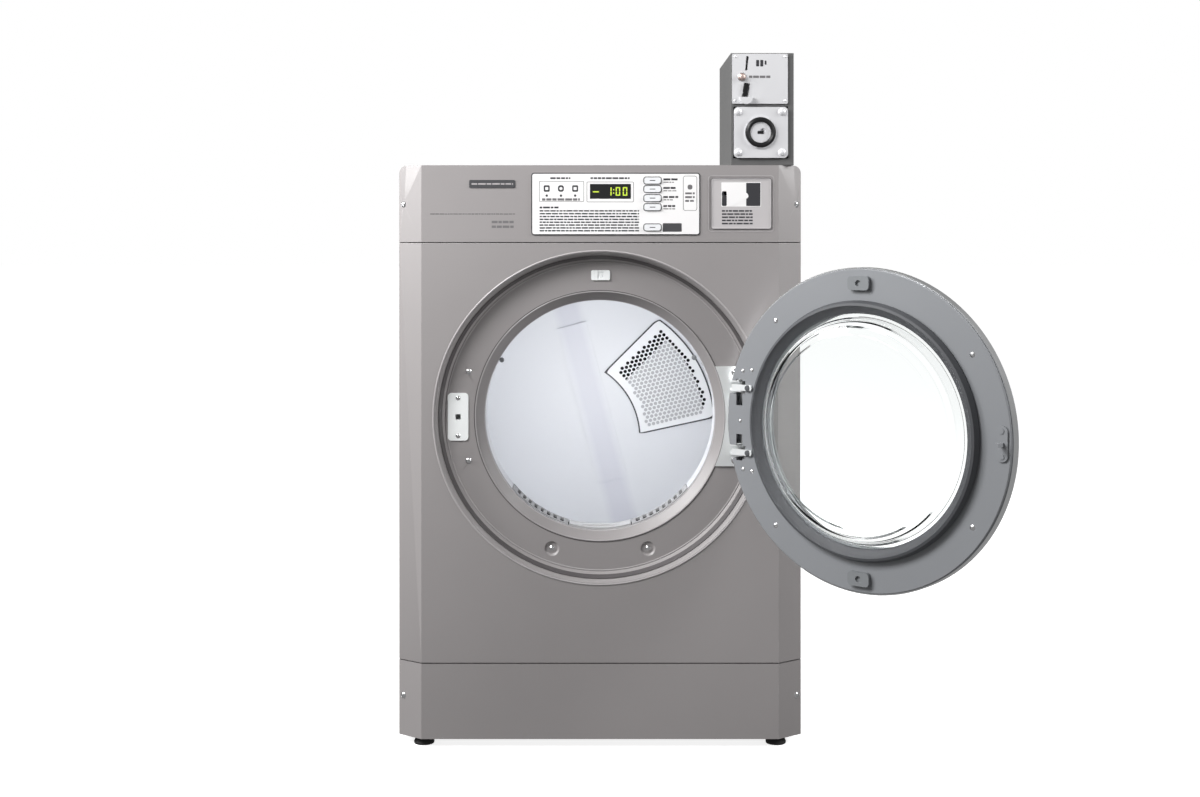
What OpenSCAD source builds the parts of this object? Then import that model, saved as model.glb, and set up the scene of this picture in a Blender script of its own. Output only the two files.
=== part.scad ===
// Front-loading tumble dryer for shared laundries, with a coin box on top.
// Origin at the middle of the base pan's underside, +Z up, the front faces -Y, millimetres.
// The door is drawn open, turned about its hinge pins, as it stands between two loads.

/* [Cabinet] */
// Width over the side panels
cab_w = 686; // [600:1:760]
// Depth from the front plane to the rear panel
cab_d = 755; // [650:1:850]
// Height of the top sheet
cab_h = 984; // [900:1:1100]
// Width of each slanted front corner
corner_w = 41; // [25:1:60]
// How far the slanted corners fall back
corner_d = 28; // [15:1:45]
// Sheet metal thickness
sheet = 1.5; // [1:0.1:3]
// Top of the kick panel
kick_top = 141; // [120:1:180]
// Bottom of the control console
console_bottom = 854; // [820:1:880]
// Radius of the two top corners of the cabinet
top_r = 13; // [6:1:20]
// Dark seam between neighbouring front panels
seam = 1.6; // [1:0.1:3]

/* [Door opening] */
// Height of the drum axis above the floor
axis_z = 557; // [500:1:600]
// Outer radius of the dished ring round the door
dish_r = 279.5; // [270:0.5:285]
// Radius where the sloping wall meets the ring floor
floor_r = 264; // [260:0.5:268]
// Depth of the ring floor
floor_h = 25; // [22:0.5:30]
// Radius of the step inside the ring floor
step_r = 212; // [208:0.5:216]
// Clear radius of the loading mouth
mouth_r = 197.5; // [190:0.5:200]

/* [Door] */
// How far the door stands open in the drawing
door_open = 140; // [0:5:150]
// Outer radius of the door
door_r = 258; // [250:0.5:260]
// Distance of the hinge pins from the middle of the door
hinge_x = 240; // [236:0.5:244]
// Distance of the hinge pins in front of the front plane
hinge_out = 6; // [4:0.5:8]
// Depth of the door's inner face behind the front plane
door_face_h = 14; // [12:0.5:16]
// Radius of the door glass
glass_r = 185; // [175:0.5:188]
// Outer radius of the rubber gasket
gasket_r = 206; // [200:0.5:210]
// Depth of the glass bowl behind the front plane
bowl_h = 40; // [30:1:50]
// Height of each hinge strap above or below the middle
strap_z = 54; // [45:1:65]

/* [Drum] */
// Outer radius of the drum
drum_r = 310; // [290:1:315]
// Front end of the drum behind the front plane
drum_front = 108; // [106:1:120]
// Rear end of the drum behind the front plane
drum_rear = 592; // [560:1:600]
// Height of the three lifting vanes
vane_h = 42; // [30:1:60]

/* [Coin box] */
// Left side of the coin box
coin_x = 221.5; // [150:0.5:230]
// Width of the coin box
coin_w = 106.5; // [90:0.5:115]
// Height of the coin box
coin_h = 190; // [160:1:220]
// Depth of the coin box
coin_d = 250; // [200:1:300]

/* [Controls] */
// Width of a push button
button_w = 28; // [20:0.5:30]
// Height of a push button
button_h = 10.5; // [8:0.5:12]
// How far a button stands proud of the overlay
button_proud = 2.6; // [2:0.1:4]

/* [Hidden] */
$fn = 96;
fine = 48;
eps = 0.01;
front_y = -cab_d / 2;
rear_y = cab_d / 2;
half_w = cab_w / 2;
flat_x = half_w - corner_w;
corner_a = atan2(corner_d, corner_w);
side_front = corner_d + 3;
skirt_z = 14;
seat_z = 10;

pan_wall = 34;
bulk_front = 100;
bulk_rear = 596;
ring_r = 290;
seal_r = 295.5;
drum_in = 296;
drum_skin = 1.2;
roller_r = 38;
roller_gap = 0.4;
roller_a = 40;
roller_d = drum_r + roller_r + roller_gap;
roller_x = roller_d * sin(roller_a);
roller_z = axis_z - roller_d * cos(roller_a);
roller_pin = 6;
roller_bore = 6.06;

motor_x = 60;
motor_z = 130;
motor_r = 68;
shaft_r = 7;
pulley_r = 13;
belt_h = 405;
belt_w = 12;
belt_t = 2.4;
belt_gap = 0.4;
wheel_r = 78;
grille_out = [-34.2, 469.3, 269.7];
grille_in = [-82.2, 446, 166.2];
grille_top = 570.1;
grille_foot = [439.2, 0.217];
scroll_r = 92;
scroll_h0 = 112;
scroll_h1 = 206;
duct_r = 50.8;
duct_x = -150;
duct_z = 96;
duct_out = 28;
idler_r = 24;
idler_pin = 5;
idler_bore = 5.06;
arm_pivot = [-70, 50];
idler_at = [-74, 185.2];
foot_y = [front_y + 28, rear_y - 28];

pin_r = 4;
pin_bore = 4.06;
knuckle_r = 7.4;
knuckle_h = 5;
lug_gap = 0.4;
lug_t = 4;
lug_r = 6;

overlay = [-116, 169, 866, 971];
overlay_t = 1.2;
display = [-17, 52.4, 927, 952.3];
card = [187.6, 289.8, 876, 962];
button_x = 88.7;
button_z = [958, 943.5, 928.2, 913, 878.8];
button_gap = 0.4;
board_h = 16;
plaque = [-221, -143.5, 945.6, 959];

shank = 0.45;
panel_screw_r = 5.5;
panel_screw_z = [82, 918];
dimple_x = 82;
dimple_z = 331;
dimple_r = 12.4;
dimple_d = 3;
// Screws of the dished ring: x, z, head radius, depth of the seat, head height.
ring_screws = [
  [-242, 523.5, 4.2, floor_h - 2, 2.2], [-242, 588, 4.2, floor_h - 2, 2.2],
  [-224.5, 481, 5, floor_h, 2.4], [-224.5, 633, 5, floor_h, 2.4],
  [-dimple_x, dimple_z, 5, floor_h + dimple_d, 2.4], [dimple_x, dimple_z, 5, floor_h + dimple_d, 2.4],
  [230, axis_z - 75, 6.5, floor_h - 3, 2], [230, axis_z + 75, 6.5, floor_h - 3, 2]
];
// Screws of the door liner: across, up, head radius.
liner_screws = [
  for (a = [46.5, 146, 214, 313.5]) [232 * cos(a), 232 * sin(a), 4.6],
  for (s = [-1, 1]) [225, s * 82, 3.8], for (s = [-1, 1]) [207, s * 84, 3.8], [231, -2, 3.6]
];

plate_x = [223.5, 317.5];
mech_z = [1088, 1172.4];
vault_x = [226.5, 317.6];
vault_z = [996.4, 1082.4];
lock_at = [271.2, 1039.3];
return_at = [240, 1133];
coin_front = 4;

// Which sub-part to draw; "all" draws the whole dryer

// ---------- helpers ----------
// The two limits that lie a distance d either side of c.
function around(c, d) = [c - d, c + d];

// Heights below are measured from the floor; the origin is the underside of the base pan.
module from_floor() { translate([0, 0, -skirt_z]) children(); }

// Move children to depth h behind the front plane.
module at_front(h = 0) { translate([0, front_y + h, 0]) children(); }

// A shape drawn flat in X, Z, given a thickness t from depth h inwards.
module slab(h, t) { at_front(h + t) rotate([90, 0, 0]) linear_extrude(t) children(); }

// A solid of revolution about the drum axis, its profile drawn as [radius, depth].
module round_about_axis(a = 360) {
  translate([0, front_y, axis_z]) rotate([-90, 0, 0]) rotate_extrude(angle = a) children();
}

// A cylinder along Y from depth h0 to h1 at [x, z].
module rod(x, z, r, h0, h1) {
  translate([x, front_y + h0, z]) rotate([-90, 0, 0]) cylinder(r = r, h = h1 - h0);
}

// A box given by its limits in X and Z and its two depths.
module box(x, z, h) {
  translate([x[0], front_y + h[0], z[0]]) cube([x[1] - x[0], h[1] - h[0], z[1] - z[0]]);
}

// A rectangle with four round corners, from its limits.
module round_rect(x0, x1, z0, z1, r) {
  translate([x0 + r, z0]) square([x1 - x0 - 2 * r, z1 - z0]);
  translate([x0, z0 + r]) square([x1 - x0, z1 - z0 - 2 * r]);
  for (x = [x0 + r, x1 - r], z = [z0 + r, z1 - r]) translate([x, z]) circle(r, $fn = fine);
}

// Plan of one front sheet with its two slanted corners.
function corner_in(t) = flat_x - t * tan(corner_a / 2);
module front_plan(t) {
  back = front_y + corner_d + t / cos(corner_a);
  polygon([
    [-half_w, front_y + corner_d], [-flat_x, front_y], [flat_x, front_y],
    [half_w, front_y + corner_d], [half_w, back], [corner_in(t), front_y + t],
    [-corner_in(t), front_y + t], [-half_w, back]
  ]);
}
module front_sheet(z0, z1) { translate([0, 0, z0]) linear_extrude(z1 - z0) front_plan(sheet); }

// A shelf that fills the plan behind a front sheet, used as its folded edge.
module front_shelf(z0, t) {
  translate([0, 0, z0]) linear_extrude(t) polygon([
    [-half_w + 2, front_y + corner_d], [-flat_x, front_y + 0.5], [flat_x, front_y + 0.5],
    [half_w - 2, front_y + corner_d], [half_w - 2, front_y + side_front - 0.5],
    [-half_w + 2, front_y + side_front - 0.5]
  ]);
}

// The cabinet outline seen from the front, with its two round top corners.
module cabinet_outline(inset) {
  r = top_r - inset;
  x = half_w - inset;
  z = cab_h - inset;
  translate([-x, skirt_z]) square([2 * x, z - skirt_z - r]);
  translate([-x + r, z - r - 1]) square([2 * (x - r), r + 1]);
  for (s = [-1, 1]) translate([s * (x - r), z - r]) circle(r, $fn = fine);
}

// A domed screw head standing on a face at depth h and facing the front.
module dome(x, z, r, h, tall) {
  translate([x, front_y + h, z]) rotate([90, 0, 0]) rotate_extrude($fn = fine)
    intersection() {
      translate([0, tall - (r * r + tall * tall) / (2 * tall)])
        circle((r * r + tall * tall) / (2 * tall), $fn = fine);
      square([r, tall]);
    }
}
module screw(x, z, r, h, tall) {
  difference() {
    union() { dome(x, z, r, h, tall); rod(x, z, r * shank, h - eps, h + 5); }
    for (a = [45, 135]) translate([x, front_y + h - tall, z]) rotate([0, a, 0])
      cube([r * 1.1, tall, 1], center = true);
  }
}

// Turn children drawn with the door shut to the open angle.
module swung() {
  translate([hinge_x, front_y - hinge_out, 0]) rotate([0, 0, door_open])
    translate([-hinge_x, -(front_y - hinge_out), 0]) children();
}

// ---------- cabinet ----------
// Plan of the base pan, d inside its outer edge.
module pan_plan(d) {
  x = half_w - sheet - 0.6 - d;
  y = front_y + corner_d + 3 + d * 0.3;
  polygon([
    [-x, y], [-flat_x + 6, front_y + 5 + d], [flat_x - 6, front_y + 5 + d], [x, y],
    [x, rear_y - 4 - d], [-x, rear_y - 4 - d]
  ]);
}
module base_pan() {
  color("#8f8d8d") from_floor() {
    difference() {
      translate([0, 0, skirt_z]) linear_extrude(pan_wall) pan_plan(0);
      translate([0, 0, skirt_z + sheet]) linear_extrude(pan_wall) pan_plan(sheet);
      rod(duct_x, duct_z, duct_r + 7.5, cab_d - 20, cab_d + 5);
      for (s = [-1, 1], y = foot_y) translate([s * 300, y, 0]) cylinder(r = 5.1, h = 60, $fn = fine);
    }
    for (s = [-1, 1], y = foot_y) translate([s * 300, y, skirt_z + sheet - eps])
      difference() {
        cylinder(r = 12, h = 16, $fn = fine);
        translate([0, 0, -1]) cylinder(r = 5.1, h = 20, $fn = fine);
      }
    box(around(arm_pivot[0], 16), [skirt_z + sheet - eps, arm_pivot[1] + 12], [belt_h - 20, belt_h - 16]);
    rod(arm_pivot[0], arm_pivot[1], 5, belt_h - 17, belt_h - 2);
  }
}

module side_panel(s) {
  y0 = front_y + side_front;
  difference() {
    union() {
      translate([s * half_w - (s > 0 ? sheet : 0), y0, skirt_z])
        cube([sheet, cab_d - side_front - 2, cab_h - top_r - skirt_z - 1]);
      for (y = [y0, rear_y - 2 - sheet])
        translate([s > 0 ? half_w - 20 : -half_w, y, skirt_z + pan_wall + 1])
          cube([20, sheet, 940 - pan_wall - 1]);
    }
    for (k = [0:5]) translate([s * half_w, 100, 700 + k * 22]) rotate([0, 0, 0])
      cube([6, 90, 7], center = true);
  }
}
module left_side_panel() { color("#949090") from_floor() side_panel(-1); }
module right_side_panel() { color("#949090") from_floor() side_panel(1); }

module rear_panel() {
  color("#8a8888") from_floor() difference() {
    union() {
      slab(cab_d - 1.7, sheet) round_rect(-half_w + 3, half_w - 3, skirt_z + 1, cab_h - 4, 8);
      rod(duct_x, duct_z, duct_r + 12, cab_d - 1.7 + sheet - eps, cab_d + 0.8);
    }
    rod(duct_x, duct_z, duct_r + 2.1, cab_d - 20, cab_d + 20);
    rod(230, 140, 14, cab_d - 20, cab_d + 20);
    for (i = [0:6], j = [0:9])
      box([-60 + i * 36, -36 + i * 36], [620 + j * 20, 628 + j * 20], [cab_d - 20, cab_d + 20]);
  }
}

module top_plate() {
  color("#a9a6a6") from_floor() difference() {
    intersection() {
      translate([0, rear_y - 0.4, 0]) rotate([90, 0, 0])
        linear_extrude(cab_d - side_front - 0.4) difference() {
          cabinet_outline(0);
          cabinet_outline(sheet);
        }
      translate([-half_w - 1, front_y, cab_h - top_r]) cube([cab_w + 2, cab_d, top_r + 1]);
    }
    translate([coin_x + 40, front_y + 120, cab_h - 5]) cylinder(r = 12, h = 10);
  }
}

// A dimple drawn round a screw in the ring floor, t outside its skin, started e early.
module dimple(x, z, t, e) {
  translate([x, front_y + floor_h - e, z]) rotate([-90, 0, 0])
    cylinder(r1 = dimple_r + t, r2 = dimple_r - 3 + t, h = dimple_d + t + e);
}

module front_panel() {
  z0 = kick_top + seam;
  z1 = console_bottom - seam;
  color("#949090") from_floor() difference() {
    union() {
      difference() {
        front_sheet(z0, z1);
        rod(0, axis_z, dish_r + 2, -5, 10);
      }
      difference() {
        union() { front_shelf(z0, sheet); front_shelf(z1 - sheet, sheet); }
        rod(0, axis_z, dish_r + 2, -5, 60);
      }
      round_about_axis() polygon([
        [dish_r + 5, 0], [dish_r, 0], [floor_r, floor_h], [step_r, floor_h],
        [step_r, floor_h + 3], [mouth_r, floor_h + 13], [mouth_r, 52],
        [mouth_r + 1.5, 52], [mouth_r + 1.5, floor_h + 13.8], [step_r + 1.5, floor_h + 3.8],
        [step_r + 1.5, floor_h + 1.5], [floor_r + 0.8, floor_h + 1.5], [dish_r + 0.8, 1.5],
        [dish_r + 5, 1.5]
      ]);
      for (s = [-1, 1]) dimple(s * dimple_x, dimple_z, 1.5, 0);
    }
    box([-246.5, -237.5], [551.5, 560.5], [20, 30]);
    for (s = [-1, 1]) dimple(s * dimple_x, dimple_z, 0, eps);
    for (p = ring_screws) rod(p[0], p[1], p[2] * shank + 0.15, 20, 40);
    box([-13, 15], [791, 804], [20, 30]);
  }
}

module kick_panel() {
  color("#8a8787") from_floor() difference() {
    union() {
      front_sheet(skirt_z, kick_top);
      front_shelf(kick_top - sheet, sheet);
    }
    for (s = [-1, 1]) at_panel_screw(s, panel_screw_z[0]) rod(0, 0, panel_screw_r * shank + 0.15, -1, 6);
  }
}

module console() {
  color("#9a9696") from_floor() difference() {
    intersection() {
      union() {
        front_sheet(console_bottom, cab_h);
        front_shelf(cab_h - sheet, sheet);
        front_shelf(console_bottom, sheet);
      }
      at_front(corner_d + 20) rotate([90, 0, 0]) linear_extrude(corner_d + 40) cabinet_outline(0);
    }
    box([display[0] + 2, display[1] - 2], [display[2] + 2, display[3] - 2], [-5, 5]);
    for (z = button_z) slab(-5, 12)
      round_rect(button_x - button_w / 2 - 1, button_x + button_w / 2 + 1,
                 z - button_h / 2 - 1, z + button_h / 2 + 1, 5);
    slab(-1, 1.6) round_rect(card[0] - 1, card[1] + 1, card[2] - 1, card[3] + 1, 5);
    for (s = [-1, 1]) at_panel_screw(s, panel_screw_z[1]) rod(0, 0, panel_screw_r * shank + 0.15, -1, 6);
  }
}

// The place of a screw on the slanted corner on side s, at height z.
module at_panel_screw(s, z) {
  translate([s * (half_w - 8), front_y + corner_d * (corner_w - 8) / corner_w, z])
    rotate([0, 0, s * corner_a]) translate([0, -front_y, 0]) children();
}

module panel_screws() {
  color("#d8d8d8") from_floor() for (s = [-1, 1], z = panel_screw_z)
    at_panel_screw(s, z) screw(0, 0, panel_screw_r, 0, 3);
}

module levelling_feet() {
  color("#1c1c1c") from_floor() for (s = [-1, 1], y = foot_y) translate([s * 300, y, 0]) {
    rotate_extrude($fn = fine) polygon([[0, 0], [17, 0], [17.5, 3], [15, 8], [9, seat_z], [0, seat_z]]);
    translate([0, 0, seat_z - eps]) cylinder(r = 5, h = 34, $fn = fine);
    translate([0, 0, seat_z - eps]) cylinder(r = 8.5, h = 1.8, $fn = 6);
  }
}

// ---------- console ----------
module console_overlay() {
  color("#dedede") from_floor() difference() {
    slab(-overlay_t, overlay_t) round_rect(overlay[0], overlay[1], overlay[2], overlay[3], 5);
    box([display[0], display[1]], [display[2], display[3]], [-5, 5]);
    for (z = button_z) slab(-5, 12)
      round_rect(button_x - button_w / 2 - button_gap, button_x + button_w / 2 + button_gap,
                 z - button_h / 2 - button_gap, z + button_h / 2 + button_gap, 4.4);
  }
}

module display_window() {
  color("#141414") from_floor() {
    box([display[0] + 0.2, display[1] - 0.2], [display[2] + 0.2, display[3] - 0.2], [-1, 0]);
    box([display[0] + 4, display[1] - 4], [display[2] + 4, display[3] - 4], [-0.5, board_h]);
  }
}

module card_plate() {
  color("#d6d4d4") from_floor() {
    slab(-0.6, 1.2) round_rect(card[0], card[1], card[2], card[3], 4);
    slab(-1.3, 0.8) difference() {
      round_rect(card[0], card[1], card[2], card[3], 4);
      round_rect(card[0] + 2.4, card[1] - 2.4, card[2] + 2.4, card[3] - 2.4, 2.5);
    }
  }
}

module name_plaque() {
  color("#4a4a4c") from_floor() slab(-1, 1) round_rect(plaque[0], plaque[1], plaque[2], plaque[3], 2);
}

module control_board() {
  color("#2d5a3c") from_floor() {
    box([overlay[0] + 12, overlay[1] - 12], [overlay[2] + 4, overlay[3] - 4], [board_h, board_h + 1.6]);
    for (z = button_z) box([button_x - 5, button_x + 5], [z - 3.5, z + 3.5], [9, board_h + eps]);
    for (x = [overlay[0] + 18, overlay[1] - 18], z = [overlay[2] + 10, overlay[3] - 10])
      rod(x, z, 3.5, sheet, board_h + eps);
    box([-90, -40], [885, 915], [board_h + 1.5, board_h + 24]);
  }
}

// A push button: a cap through the overlay with a broad foot behind the console sheet.
module push_button(z) {
  difference() {
    union() {
      slab(-overlay_t - button_proud, 4.9 + button_proud)
        round_rect(button_x - button_w / 2, button_x + button_w / 2,
                   z - button_h / 2, z + button_h / 2, 4);
      rod(button_x, z, 2.4, 3.6, 6.4);
    }
    slab(-overlay_t - button_proud - 1, 1.4)
      round_rect(button_x - 5, button_x + 5, z - 0.7, z + 0.7, 0.6);
  }
}
module button_1() { color("#f2f3f4") from_floor() push_button(button_z[0]); }
module button_2() { color("#f2f3f4") from_floor() push_button(button_z[1]); }
module button_3() { color("#f2f3f4") from_floor() push_button(button_z[2]); }
module button_4() { color("#f2f3f4") from_floor() push_button(button_z[3]); }
module start_button() { color("#f2f3f4") from_floor() push_button(button_z[4]); }

// ---------- fittings on the door ring ----------
// Outline of one hinge lug seen from above, from the ring floor out to the pin.
module lug_plan() {
  union() {
    circle(lug_r, $fn = fine);
    polygon([[-4, 4.4], [4.4, -4], [-5, 16], [-6, 29], [-18, 29], [-18, 12]]);
  }
}
module hinge_plate() {
  color("#e2e6e6") from_floor() {
    difference() {
      intersection() {
        slab(floor_h - 3, 3) difference() {
          translate([0, axis_z]) circle(floor_r - 3);
          translate([0, axis_z]) circle(step_r + 2);
        }
        box([150, 300], [axis_z - 85, axis_z + 85], [0, 60]);
      }
      for (s = [-1, 1]) rod(230, axis_z + s * 75, 3, 10, 40);
    }
    for (s = [-1, 1], t = [-1, 1])
      translate([hinge_x, front_y - hinge_out,
                 axis_z + s * strap_z + t * (knuckle_h + lug_gap + lug_t / 2) - lug_t / 2])
        linear_extrude(lug_t) lug_plan();
    for (s = [-1, 1])
      translate([hinge_x, front_y - hinge_out, axis_z + s * strap_z - knuckle_h - lug_gap - lug_t - 1])
        cylinder(r = pin_r, h = 2 * (knuckle_h + lug_gap + lug_t + 1), $fn = fine);
  }
}

module strike_plate() {
  color("#eef0f0") from_floor() {
    difference() {
      slab(floor_h - 2, 1.9) round_rect(-259.5, -224.5, 515.5, 596.5, 6);
      box([-246.5, -237.5], [551.5, 560.5], [10, 40]);
      for (z = [523.5, 588]) rod(-242, z, 2.6, 10, 40);
    }
    difference() {
      box([-254, -230], [544, 568], [floor_h + 1.6, floor_h + 30]);
      box([-250, -234], [548, 564], [floor_h + 1, floor_h + 27]);
    }
  }
}

module front_screws() {
  color("#c9cccc") from_floor() for (p = ring_screws) screw(p[0], p[1], p[2], p[3], p[4]);
}

module door_switch() {
  color("#eceeee") from_floor() {
    difference() {
      slab(floor_h - 2.4, 2.3) round_rect(-15, 17, 789, 806, 2.5);
      box([-4, 6], [792, 803], [10, 40]);
    }
    box([-12, 14], [792, 803], [floor_h - 1, floor_h + 22]);
    rod(1, 797.5, 3.4, floor_h - 1.8, floor_h + 5);
  }
}

// ---------- air path and drum chamber ----------
module bulkhead_outline(z0, z1) { round_rect(-half_w + 14, half_w - 14, z0, z1, 30); }

outlet_a = 50;
// A sector seen from the front, centred straight down, half-angle a.
module down_sector(a, r) {
  translate([0, axis_z]) polygon([[0, 0], [-r * sin(a), -r * cos(a)], [0, -r * 1.4], [r * sin(a), -r * cos(a)]]);
}

module front_bulkhead() {
  color("#c9cacc") from_floor() {
    difference() {
      slab(bulk_front, sheet) difference() {
        bulkhead_outline(160, 852);
        translate([0, axis_z]) circle(mouth_r + 0.8);
      }
      box([-58, 58], [300, 362], [bulk_front - 5, bulk_front + 5]);
      rod(motor_x, motor_z, 52.4, bulk_front - 5, bulk_front + 5);
    }
    difference() {
      round_about_axis() translate([mouth_r, 54]) square([sheet, bulk_front - 54 + 0.5]);
      slab(50, 60) down_sector(outlet_a, 300);
    }
    round_about_axis() translate([ring_r, bulk_front + 1]) square([sheet, 21]);
  }
}

module outlet_grille() {
  color("#eceef0") from_floor() difference() {
    intersection() {
      round_about_axis() polygon([[mouth_r - 1, 54], [mouth_r + 3, 54], [mouth_r + 3, 99.8], [mouth_r - 1, 99.8]]);
      slab(50, 60) down_sector(outlet_a - 0.3, 300);
    }
    slab(50, 60) down_sector(16.2, 300);
    for (s = [-1, 1], k = [0:7]) translate([0, front_y + 78, axis_z]) rotate([0, s * (19.5 + k * 3.7), 0])
      translate([0, 0, -mouth_r]) cube([7, 30, 14], center = true);
  }
}

module lint_filter() {
  color("#dfe1e3") from_floor() {
    intersection() {
      round_about_axis() polygon([[mouth_r - 1.4, 58], [mouth_r + 2.6, 58], [mouth_r + 2.6, 96], [mouth_r - 1.4, 96]]);
      slab(50, 60) down_sector(15.6, 300);
    }
    difference() {
      box([-52, 52], [190, 364], [70, 84]);
      box([-46, 46], [196, 348], [60, 90]);
    }
    difference() {
      box([-47, 47], [195, 349], [75.5, 77.5]);
      for (i = [0:4], j = [0:7]) box([-44 + i * 18, -28 + i * 18], [200 + j * 18.4, 216 + j * 18.4], [70, 90]);
    }
  }
}

// The lint duct spreads under the slotted lip and narrows down to the blower, t inside its skin.
module duct_outline(t) {
  polygon([
    [-160 + t, 432 - t], [160 - t, 432 - t], [160 - t, 380 + t * 0.4], [74 - t, 262], [74 - t, 210 - t],
    [136 - t, 200 - t], [136 - t, 52 + t], [-70 + t, 52 + t], [-70 + t, 262 + t * 0.4], [-160 + t, 380 + t * 0.4]
  ]);
}
module filter_duct() {
  color("#9c9ea0") from_floor() difference() {
    union() {
      slab(56, 42.6) duct_outline(0);
      rod(motor_x, motor_z, 52, 98, scroll_h0 + 2);
    }
    slab(57.5, 39.6) duct_outline(1.5);
    rod(motor_x, motor_z, 50.4, 90, scroll_h0 + 10);
    rod(0, axis_z, mouth_r + 3.4, 50, 110);
  }
}

module blower_housing() {
  color("#b8babc") from_floor() difference() {
    union() {
      rod(motor_x, motor_z, scroll_r, scroll_h0, scroll_h1);
      box([duct_x - duct_r - 8, motor_x], [motor_z - scroll_r, motor_z + 18], [scroll_h0, scroll_h1]);
    }
    rod(motor_x, motor_z, scroll_r - 2, scroll_h0 + 2, scroll_h1 - 2);
    box([duct_x - duct_r - 6, motor_x], [motor_z - scroll_r + 2, motor_z + 16], [scroll_h0 + 2, scroll_h1 - 2]);
    rod(motor_x, motor_z, 52.3, scroll_h0 - 5, scroll_h0 + 5);
    rod(motor_x, motor_z, 20, scroll_h1 - 5, scroll_h1 + 5);
    rod(duct_x, duct_z, duct_r - 1.2, scroll_h1 - 5, scroll_h1 + 5);
  }
}

module exhaust_duct() {
  pipe_r = duct_r + 1.7;
  color("#c4c6c8") from_floor() difference() {
    union() {
      rod(duct_x, duct_z, pipe_r, scroll_h1 + 0.2, cab_d + 1);
      rod(duct_x, duct_z, duct_r, cab_d, cab_d + duct_out);
      rod(duct_x, duct_z, pipe_r + 4, scroll_h1 + 0.2, scroll_h1 + 4);
      rod(duct_x, duct_z, pipe_r + 4, cab_d - 8, cab_d - 3);
    }
    rod(duct_x, duct_z, pipe_r - 1.2, 0, cab_d - 0.4);
    rod(duct_x, duct_z, duct_r - 1.2, 0, cab_d + 60);
  }
}

module rear_bulkhead() {
  color("#e6e8ea") from_floor() difference() {
    union() {
      slab(bulk_rear, sheet) bulkhead_outline(160, 862);
      round_about_axis() translate([ring_r, bulk_rear - 21]) square([sheet, 21.5]);
      for (s = [-1, 1]) rod(s * roller_x, roller_z, roller_pin, bulk_rear - 42, bulk_rear + 10);
      for (s = [-1, 1]) rod(s * roller_x, roller_z, 11, bulk_rear - 6, bulk_rear + 0.5);
      intersection() {
        slab(bulk_rear - 5, 5.5) translate([-16, 520]) rotate(15) square([62, 330], center = true);
        rod(0, axis_z, ring_r - 12, bulk_rear - 6, bulk_rear + 1);
      }
    }
    slab(bulk_rear - 10, 20) grille_outline(6);
  }
}

// The fan-shaped hot air inlet, high on the right of the rear wall. Its two curved sides are arcs;
// its upper left side runs at 45 degrees and its foot rises by grille_foot[1] per millimetre.
module grille_outline(inset) {
  lift = inset * sqrt(1 + grille_foot[1] * grille_foot[1]);
  left = (grille_foot[0] + lift - grille_top + inset * sqrt(2)) / (1 - grille_foot[1]);
  far = 400;
  difference() {
    intersection() {
      translate([grille_out[0], grille_out[1]]) circle(grille_out[2] - inset);
      polygon([
        [left, left + grille_top - inset * sqrt(2)], [far, far + grille_top - inset * sqrt(2)],
        [far, grille_foot[0] + grille_foot[1] * far + lift]
      ]);
    }
    translate([grille_in[0], grille_in[1]]) circle(grille_in[2] + inset);
  }
}

module air_inlet_grille() {
  edge = 17;
  color("#f0f1f2") from_floor() difference() {
    slab(bulk_rear - 2.2, 2) grille_outline(0);
    for (i = [0:12], j = [0:12]) {
      x = 36 + i * 16 + (j % 2) * 8;
      z = 476 + j * 14;
      out = norm([x - grille_out[0], z - grille_out[1]]);
      in = norm([x - grille_in[0], z - grille_in[1]]);
      if (out < grille_out[2] - edge && in > grille_in[2] + edge && z < x + grille_top - edge * sqrt(2)
          && z > grille_foot[0] + grille_foot[1] * x + edge)
        rod(x, z, 5, bulk_rear - 8, bulk_rear + 8, $fn = 24);
    }
  }
}

module heater_box() {
  color("#b0aea8") from_floor() difference() {
    box([4, 292], [430, 760], [bulk_rear + sheet, bulk_rear + 92]);
    box([6, 290], [432, 758], [bulk_rear, bulk_rear + 90]);
    for (k = [0:6]) box([40 + k * 30, 56 + k * 30], [740, 765], [bulk_rear + 20, bulk_rear + 70]);
    for (k = [0:3]) rod(60 + k * 55, 500, 12, bulk_rear + 80, bulk_rear + 100);
  }
}

module drum_seals() {
  color("#7d7a74") from_floor() {
    round_about_axis() translate([ring_r + sheet, bulk_front + 4]) square([seal_r - ring_r - sheet, 17]);
    round_about_axis() translate([ring_r + sheet, bulk_rear - 20]) square([seal_r - ring_r - sheet, 16]);
  }
}

module drum_shell() {
  color("#dcdddf") from_floor() {
    round_about_axis() polygon([
      [drum_in, drum_front + 12], [drum_in, drum_front], [drum_r - 2, drum_front],
      [drum_r, drum_front + 2], [drum_r, drum_rear - 2], [drum_r - 2, drum_rear],
      [drum_in, drum_rear], [drum_in, drum_rear - 12], [drum_in + drum_skin, drum_rear - 12],
      [drum_in + drum_skin, drum_rear - drum_skin], [drum_r - 2.4, drum_rear - drum_skin],
      [drum_r - drum_skin, drum_rear - 2.4], [drum_r - drum_skin, drum_front + 2.4],
      [drum_r - 2.4, drum_front + drum_skin], [drum_in + drum_skin, drum_front + drum_skin],
      [drum_in + drum_skin, drum_front + 12]
    ]);
  }
}

module drum_vanes() {
  color("#e4e5e7") from_floor() for (a = [0, 120, 240])
    translate([0, front_y + drum_front + 26, axis_z]) rotate([0, a, 0]) rotate([-90, 0, 0])
      linear_extrude(drum_rear - drum_front - 52) intersection() {
        circle(drum_r - drum_skin - 0.05);
        translate([0, -drum_r]) polygon([
          [-34, -10], [34, -10], [26, 16], [10, vane_h], [0, vane_h + 2], [-10, vane_h], [-26, 16]
        ]);
      }
}

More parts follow.
